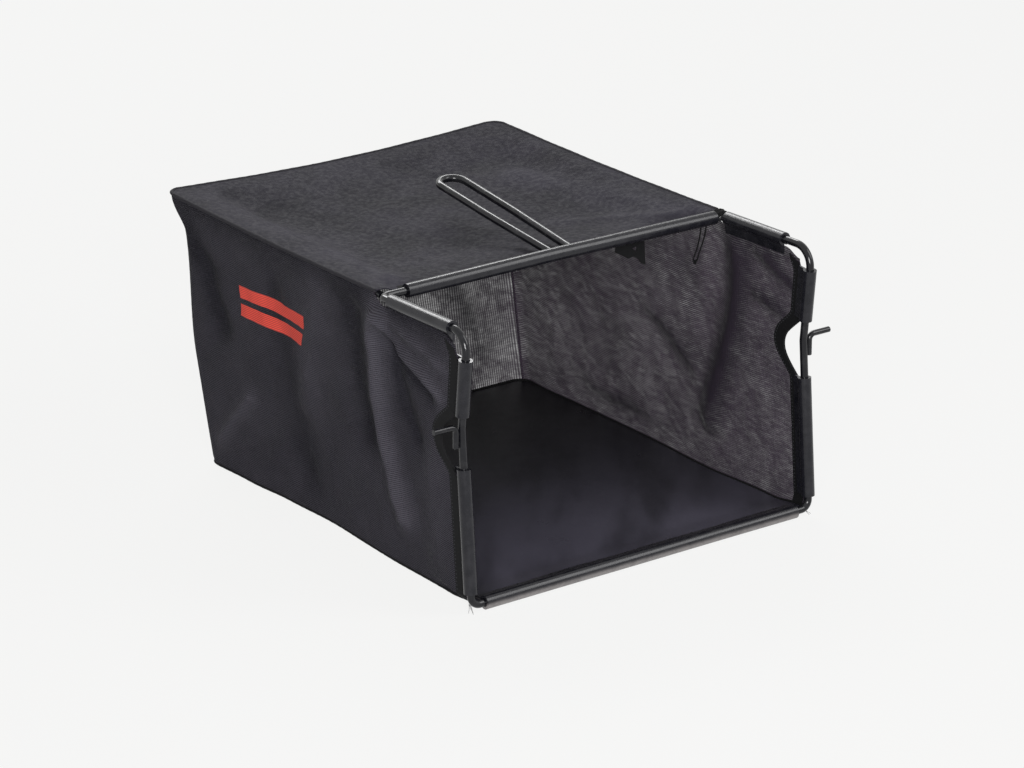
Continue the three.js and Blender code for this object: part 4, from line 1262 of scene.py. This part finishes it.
def floor_surface():
    rear_y = BAG_LENGTH_FLOOR - SEAM / 2 + SEAM_TUCK
    last_y = rear_y - CORNER_INSET

    def edge(side, y):
        return SIDE_X - drawn_in(side, y, 0.0) - SEAM / 2 + SEAM_TUCK - corner_round(rear_y - y)

    def left(t):
        y = mix(CLIP_REACH, last_y, t)
        return -edge(-1, y), y

    def right(t):
        y = mix(CLIP_REACH, last_y, t)
        return edge(1, y), y

    def front(s):
        return mix(left(0.0)[0], right(0.0)[0], s), CLIP_REACH + 0 * s

    def rear(s):
        x = mix(left(1.0)[0], right(1.0)[0], s)
        near = np.minimum(x - left(1.0)[0], right(1.0)[0] - x)
        return x, rear_y - corner_round(near + CORNER_INSET)

    flat = between(front, rear, left, right)

    def surface(s, t):
        x, y = flat(s, t)
        free = ease(*SWELL_FROM_SIDES, s) * ease(*SWELL_FROM_SIDES, 1 - s) * ease(*SWELL_FROM_FRONT, t)
        swell = np.tanh(FLOOR_RIPPLE * ripples(x, y, FLOOR_SEED) * free)
        z = FLOOR_THICKNESS / 2 + FLOOR_CLEARANCE + floor_lift(y) + FLOOR_SWELL * (1 + swell)
        return np.stack([x, y, z], -1)
    return surface


left_side = side_surface(-1)
right_side = side_surface(1)
top_form = top_surface()
rear_form = rear_surface()
floor_form = floor_surface()


def make_panels():
    even, fine = np.linspace(0, 1, 150), np.linspace(0, 1, 100)
    side_columns = np.concatenate([np.linspace(0, 0.4, 90, endpoint=False), np.linspace(0.4, 1, 110)])
    side_grid = (side_columns, np.linspace(0, 1, 110))
    wires = ["frame_wire", "bow_wire"]

    # Name, node, form, grid, material and slot, what holds it, and how its folds are marked
    panels = [
        ("left_side_cloth", "left_side_panel", left_side, side_grid, side_material, "mesh_cloth", wires,
         (SIDE_FOLDS[-1], (1, 2), True, True)),
        ("right_side_cloth", "right_side_panel", right_side, side_grid, side_material, "mesh_cloth", wires,
         (SIDE_FOLDS[1], (1, 2), True, False)),
        ("top_cloth_panel", "top_panel", top_form, (even, even), top_material, "top_cloth", wires,
         (TOP_FOLDS, (0, 1), False, False)),
        ("rear_cloth", "rear_panel", rear_form, (even, fine), rear_material, "mesh_cloth", ["bow_wire"],
         (REAR_FOLDS, (0, 2), True, True)),
        ("floor_sheet_panel", "floor_panel", floor_form, (fine, fine), floor_material, "floor_sheet",
         ["frame_wire"], None),
    ]
    for name, node, surface, grid, material, slot, rests, marks in panels:
        thickness = SHEET_THICKNESS if marks else FLOOR_THICKNESS
        piece = sheet(name, surface, *grid, thickness, material)
        if marks:
            mark_pleats(piece, surface, *grid, *marks)
        dress(piece, slot, node)
        across, along, area = flat_size(surface, *grid)


make_panels()


# Seams, bindings and stitches

SEAM_STEPS = 90
CORNER_STEPS = 10
SEAM_START = CLIP_OUTER / 2 + 1


def top_seam_path():
    start = CROSSBAR_Y + SEAM_START
    corner_x, corner_y = TOP_SEAM_X - BAG_CORNER, BAG_LENGTH_TOP - BAG_CORNER
    side = np.linspace(start, corner_y, SEAM_STEPS)
    turns = np.linspace(0, math.pi / 2, CORNER_STEPS)[1:]
    turn_x = corner_x + BAG_CORNER * np.cos(turns)
    turn_y = corner_y + BAG_CORNER * np.sin(turns)
    back = np.linspace(-corner_x, corner_x, SEAM_STEPS)[1:-1]
    left = [(-TOP_SEAM_X, y, float(seam_z(y))) for y in side]
    left += [(-x, y, float(TOP_Z - rear_dip(x))) for x, y in zip(turn_x, turn_y)]
    middle = [(x, BAG_LENGTH_TOP, float(TOP_Z - rear_dip(x))) for x in back]
    right = [(-x, y, z) for x, y, z in left[::-1]]
    return np.array(left + middle + right)


def floor_seam_path():
    corner_y = BAG_LENGTH_FLOOR - BAG_CORNER

    def edge(side, y):
        return side * (SIDE_X - float(drawn_in(side, y, 0.0)))

    def height(y):
        return SEAM / 2 + SEAM_LIFT + float(floor_lift(y))

    def run(side):
        points = [(edge(side, y), y, height(y)) for y in np.linspace(SEAM_START, corner_y, SEAM_STEPS)]
        middle = edge(side, corner_y) - side * BAG_CORNER
        for turn in np.linspace(0, math.pi / 2, CORNER_STEPS)[1:]:
            x, y = middle + side * BAG_CORNER * math.cos(turn), corner_y + BAG_CORNER * math.sin(turn)
            points.append((x, y, height(corner_y)))
        return points
    left, right = run(-1), run(1)[::-1]
    across = np.linspace(left[-1][0], right[0][0], SEAM_STEPS)[1:-1]
    back = [(x, BAG_LENGTH_FLOOR, height(corner_y)) for x in across]
    return np.array(left + back + right)


def rear_seam_path(side):
    low = SEAM + SEAM_CLEARANCE + GAP
    high = seam_z(BAG_LENGTH_TOP) - TOP_SEAM / 2 - 2 * CLIP_SEAT
    proud = (SEAM / 2 - CLOTH_HALF) * math.sqrt(0.5)
    z = np.linspace(low, high, SEAM_STEPS)
    y = back_y(z) - pinch(z) - CORNER_INSET
    x = side * (SIDE_X - drawn_in(side, y, z) - CORNER_INSET + proud)
    return np.stack([x, y + proud, z], -1)


# A sewn seam's mean share of its diameter, and the height and lengths of its waves
GATHERED_MEAN = 0.94
GATHERED_WAVE = 0.05
GATHERED_LENGTHS = (2.1, 13)


def gathered(points, diameter, seed):
    """Diameters of a sewn seam, which swells and thins a little along its way."""
    random = np.random.default_rng(seed)
    phase = random.uniform(0, 2 * math.pi, 2)
    lengths = lengths_along(points)
    pairs = zip(GATHERED_LENGTHS, phase)
    waves = sum(GATHERED_WAVE * np.sin(lengths / length + start) for length, start in pairs)
    return diameter * (GATHERED_MEAN + waves)


def piping(name, path, diameter, seed, material, sides, node):
    dress(tube(name, path, gathered(path, diameter, seed), material, sides), "trim", node)


STITCH_PITCH = 3.8
STITCH_LENGTH = 2.6
STITCH_RADIUS = 1.25


def stitches(name, points):
    """A row of thread stitches through the cloth, each lying along the row and thin at its ends."""
    lengths = lengths_along(points)
    radii = np.array([0.35, 1, 1, 0.35]) * STITCH_RADIUS
    parts = []
    for at in np.arange(STITCH_PITCH, lengths[-1] - STITCH_PITCH, STITCH_PITCH):
        places = at + STITCH_LENGTH * np.array([-0.5, -0.25, 0.25, 0.5])
        ends = np.stack([np.interp(places, lengths, points[:, k]) for k in range(3)], -1)
        parts.append(tube_parts(ends, radii, 6))
    dress(add_mesh(name, *joined(parts), thread_material, crease=math.radians(80)), "trim")


def strip(name, surface, columns, rows, thickness, *nodes):
    dress(sheet(name, surface, columns, rows, thickness, tape_material), "trim", *nodes)


# Hems, tapes, stitches and a black strip of painted shadow along the top's front edge: edges in
# millimetres from the front edge, spans and the strip's edges as shares of their panel
SIDE_LENGTH = BAG_LENGTH_FLOOR - CLIP_REACH
SIDE_HEIGHT = FREE_CORNER_Z
HEM_EDGES = (0.4, 15)
HEM_SPAN = (0.004, 0.985)
HEM_THICKNESS = 2.0
TAPE_EDGES = (-0.8, 9)
TAPE_SHARE = 0.93
TAPE_THICKNESS = 2.4
STITCH_INSET = 2
STITCH_SPAN = (0.03, 0.97)
TOP_SHADOW_SPAN = (0.075, 0.925)
TOP_SHADOW_EDGES = (0.0005, 0.03)
TOP_SHADOW_THICKNESS = 1.5


def make_trim():
    piping("top_piping", top_seam_path(), TOP_SEAM, 61, piping_material, 14, "top_seam_binding")
    piping("floor_piping", floor_seam_path(), SEAM, 62, tape_material, 12, "floor_seam_binding")
    for (name, side), surface in zip(SIDES, (left_side, right_side)):
        piping(f"{name}_rear_piping", rear_seam_path(side), REAR_SEAM, 63 + side, side_material, 12,
               f"{name}_rear_seam")
        notch_z, notch_half, _ = CUTOUT[side]
        reach = TAPE_SHARE * notch_half
        t = np.linspace((notch_z - reach) / SIDE_HEIGHT, (notch_z + reach) / SIDE_HEIGHT, 60)
        s = np.linspace(*TAPE_EDGES, 6) / SIDE_LENGTH
        strip(f"{name}_cutout_tape", surface, s, t, TAPE_THICKNESS, f"{name}_cutout_binding")
        s = np.linspace(*HEM_EDGES, 6) / SIDE_LENGTH
        strip(f"{name}_front_hem", surface, s, np.linspace(*HEM_SPAN, 160), HEM_THICKNESS)
        t = np.linspace(*STITCH_SPAN, 160)
        row = surface(np.full(t.shape, (HEM_EDGES[1] - STITCH_INSET) / SIDE_LENGTH), t)
        stitches(f"{name}_hem_stitches", row)


def make_top_front_shadow():
    """A black strip along the top cloth's front edge, beside the crossbar's clip: a painted shadow of the
    gap under the clip.
    """
    columns, rows = np.linspace(*TOP_SHADOW_SPAN, 120), np.linspace(*TOP_SHADOW_EDGES, 6)
    strip("top_front_shadow_strip", top_form, columns, rows, TOP_SHADOW_THICKNESS)


# The printed bars: shares of the left side's length and height, and the ink's thickness
PRINT_SPAN = (0.55, 0.79)
PRINT_ROWS = {"upper": (0.725, 0.775), "lower": (0.65, 0.70)}
INK_THICKNESS = 0.2
INK_CLEARANCE = 0.15


def make_print():
    """A plain pair of coral bars on the left side."""
    def raised(s, t):
        return left_side(s, t) - np.array([SHEET_THICKNESS / 2 + INK_CLEARANCE, 0, 0])

    for name, span in PRINT_ROWS.items():
        columns, rows = np.linspace(*PRINT_SPAN, 60), np.linspace(*span, 12)
        dress(sheet(f"left_print_{name}", raised, columns, rows, INK_THICKNESS, ink_material), "mesh_cloth")


# Thread ends: how many, their radius, their root, how far they bend, and where they end
# beside the root, from and to
THREAD_ENDS = 4
THREAD_RADIUS = 0.22
THREAD_ROOT = (FRAME_HALF_WIDTH - 1, 6, 7)
THREAD_BEND = 1.5
THREAD_REACH = ((-4, 5), (-12, -4), (-6.5, -4.5))


def make_threads():
    """Cut thread ends at the lower corners of the mouth."""
    for name, side in SIDES:
        root = np.array(THREAD_ROOT) * [side, 1.0, 1.0]
        random = np.random.default_rng(70 + side)
        parts = []
        for _ in range(THREAD_ENDS):
            out, forward, down = (random.uniform(*span) for span in THREAD_REACH)
            tip = root + np.array([side * out, forward, down])
            middle = mix(root, tip, 0.5) + random.uniform(-THREAD_BEND, THREAD_BEND, 3)
            parts.append(tube_parts(smooth_path([root, middle, tip], 8), THREAD_RADIUS, 6))
        dress(add_mesh(f"{name}_thread_ends", *joined(parts), cut_thread_material), "trim")


# Lumps of the bunched corner: place, half sizes and seed
BUNCH = [
    ((206.5, 151, 283.6), (6.5, 6.0, 5.2), 91),
    ((210.5, 150, 284.6), (5.0, 6.5, 4.4), 92),
    ((212.5, 146, 282.8), (4.4, 5.0, 4.6), 93),
]


def make_corner_bunch():
    """The top cloth's front corner, bunched over the wire between two clips."""
    parts = [bead_parts(*lump) for lump in BUNCH]
    dress(add_mesh("right_corner_bunch", *joined(parts), tape_material), "trim")


make_trim()
make_top_front_shadow()
make_corner_bunch()
make_print()
make_threads()

# Floor, world and lights

PALE = (0.975, 0.975, 0.968, 1)
LIT_FLOOR = (0.5, 0.5, 0.505, 1)
GLOW_SHARE = 0.88
FLOOR_HALF = 12
FLOOR_DROP = -0.0004
ROOM = (0.98, 0.98, 1.0, 1)
ROOM_STRENGTH = 0.14


def background_rays(tree):
    """1 for the rays that see the background: the camera's, and those that a piece reflects or
    lets through."""
    seen = field(tree, "LightPath", "Is Camera Ray", {})
    for kind in ("Is Glossy Ray", "Is Transmission Ray"):
        seen = (seen + field(tree, "LightPath", kind, {})).clamped()
    return seen


def empty_tree(block):
    block.use_nodes = True
    block.node_tree.nodes.clear()
    return block.node_tree


def show(tree, output, share, lit, background):
    """Shows what lights the object, and the background for the share of rays that see it."""
    blend = field(tree, "MixShader", 0, {0: share, 1: lit, 2: background})
    feed(tree.nodes.new(output).inputs["Surface"], blend)


def make_stage():
    material = bpy.data.materials.new("pale_floor")
    tree = empty_tree(material)
    show(tree, "ShaderNodeOutputMaterial", background_rays(tree) * GLOW_SHARE,
         field(tree, "BsdfDiffuse", 0, {"Color": LIT_FLOOR}), field(tree, "Emission", 0, {"Color": PALE}))
    mesh = bpy.data.meshes.new("pale_floor")
    corners = [(x * FLOOR_HALF, y * FLOOR_HALF, 0) for x, y in ((-1, -1), (1, -1), (1, 1), (-1, 1))]
    mesh.from_pydata(corners, [], [(0, 1, 2, 3)])
    mesh.materials.append(material)
    floor = put_in_scene("pale_floor", mesh)
    floor.location.z = FLOOR_DROP


def make_world():
    world = bpy.data.worlds.new("studio")
    bpy.context.scene.world = world
    tree = empty_tree(world)
    show(tree, "ShaderNodeOutputWorld", background_rays(tree),
         field(tree, "Background", 0, {"Color": ROOM, "Strength": ROOM_STRENGTH}),
         field(tree, "Background", 0, {"Color": PALE}))


def softbox(name, place, aim, size, power):
    light = bpy.data.lights.new(name, "AREA")
    light.shape = "RECTANGLE"
    light.size, light.size_y = size
    light.energy = power
    lamp = put_in_scene(name, light)
    lamp.visible_camera = False
    lamp.location = place
    lamp.rotation_euler = (Vector(aim) - Vector(place)).to_track_quat("-Z", "Y").to_euler()


make_stage()
make_world()
softbox("front_left_softbox", place=(-1.55, -2.25, 1.0), aim=(0, 0, 0.15), size=(1.0, 1.0), power=74)
softbox("back_softbox", place=(0.8, 2.3, 2.1), aim=(0, 0, 0.25), size=(2.4, 0.6), power=48)
softbox("right_softbox", place=(1.25, -1.35, 1.6), aim=(0, 0, 0.2), size=(0.9, 1.5), power=22)

bpy.context.scene.view_settings.view_transform = "Standard"
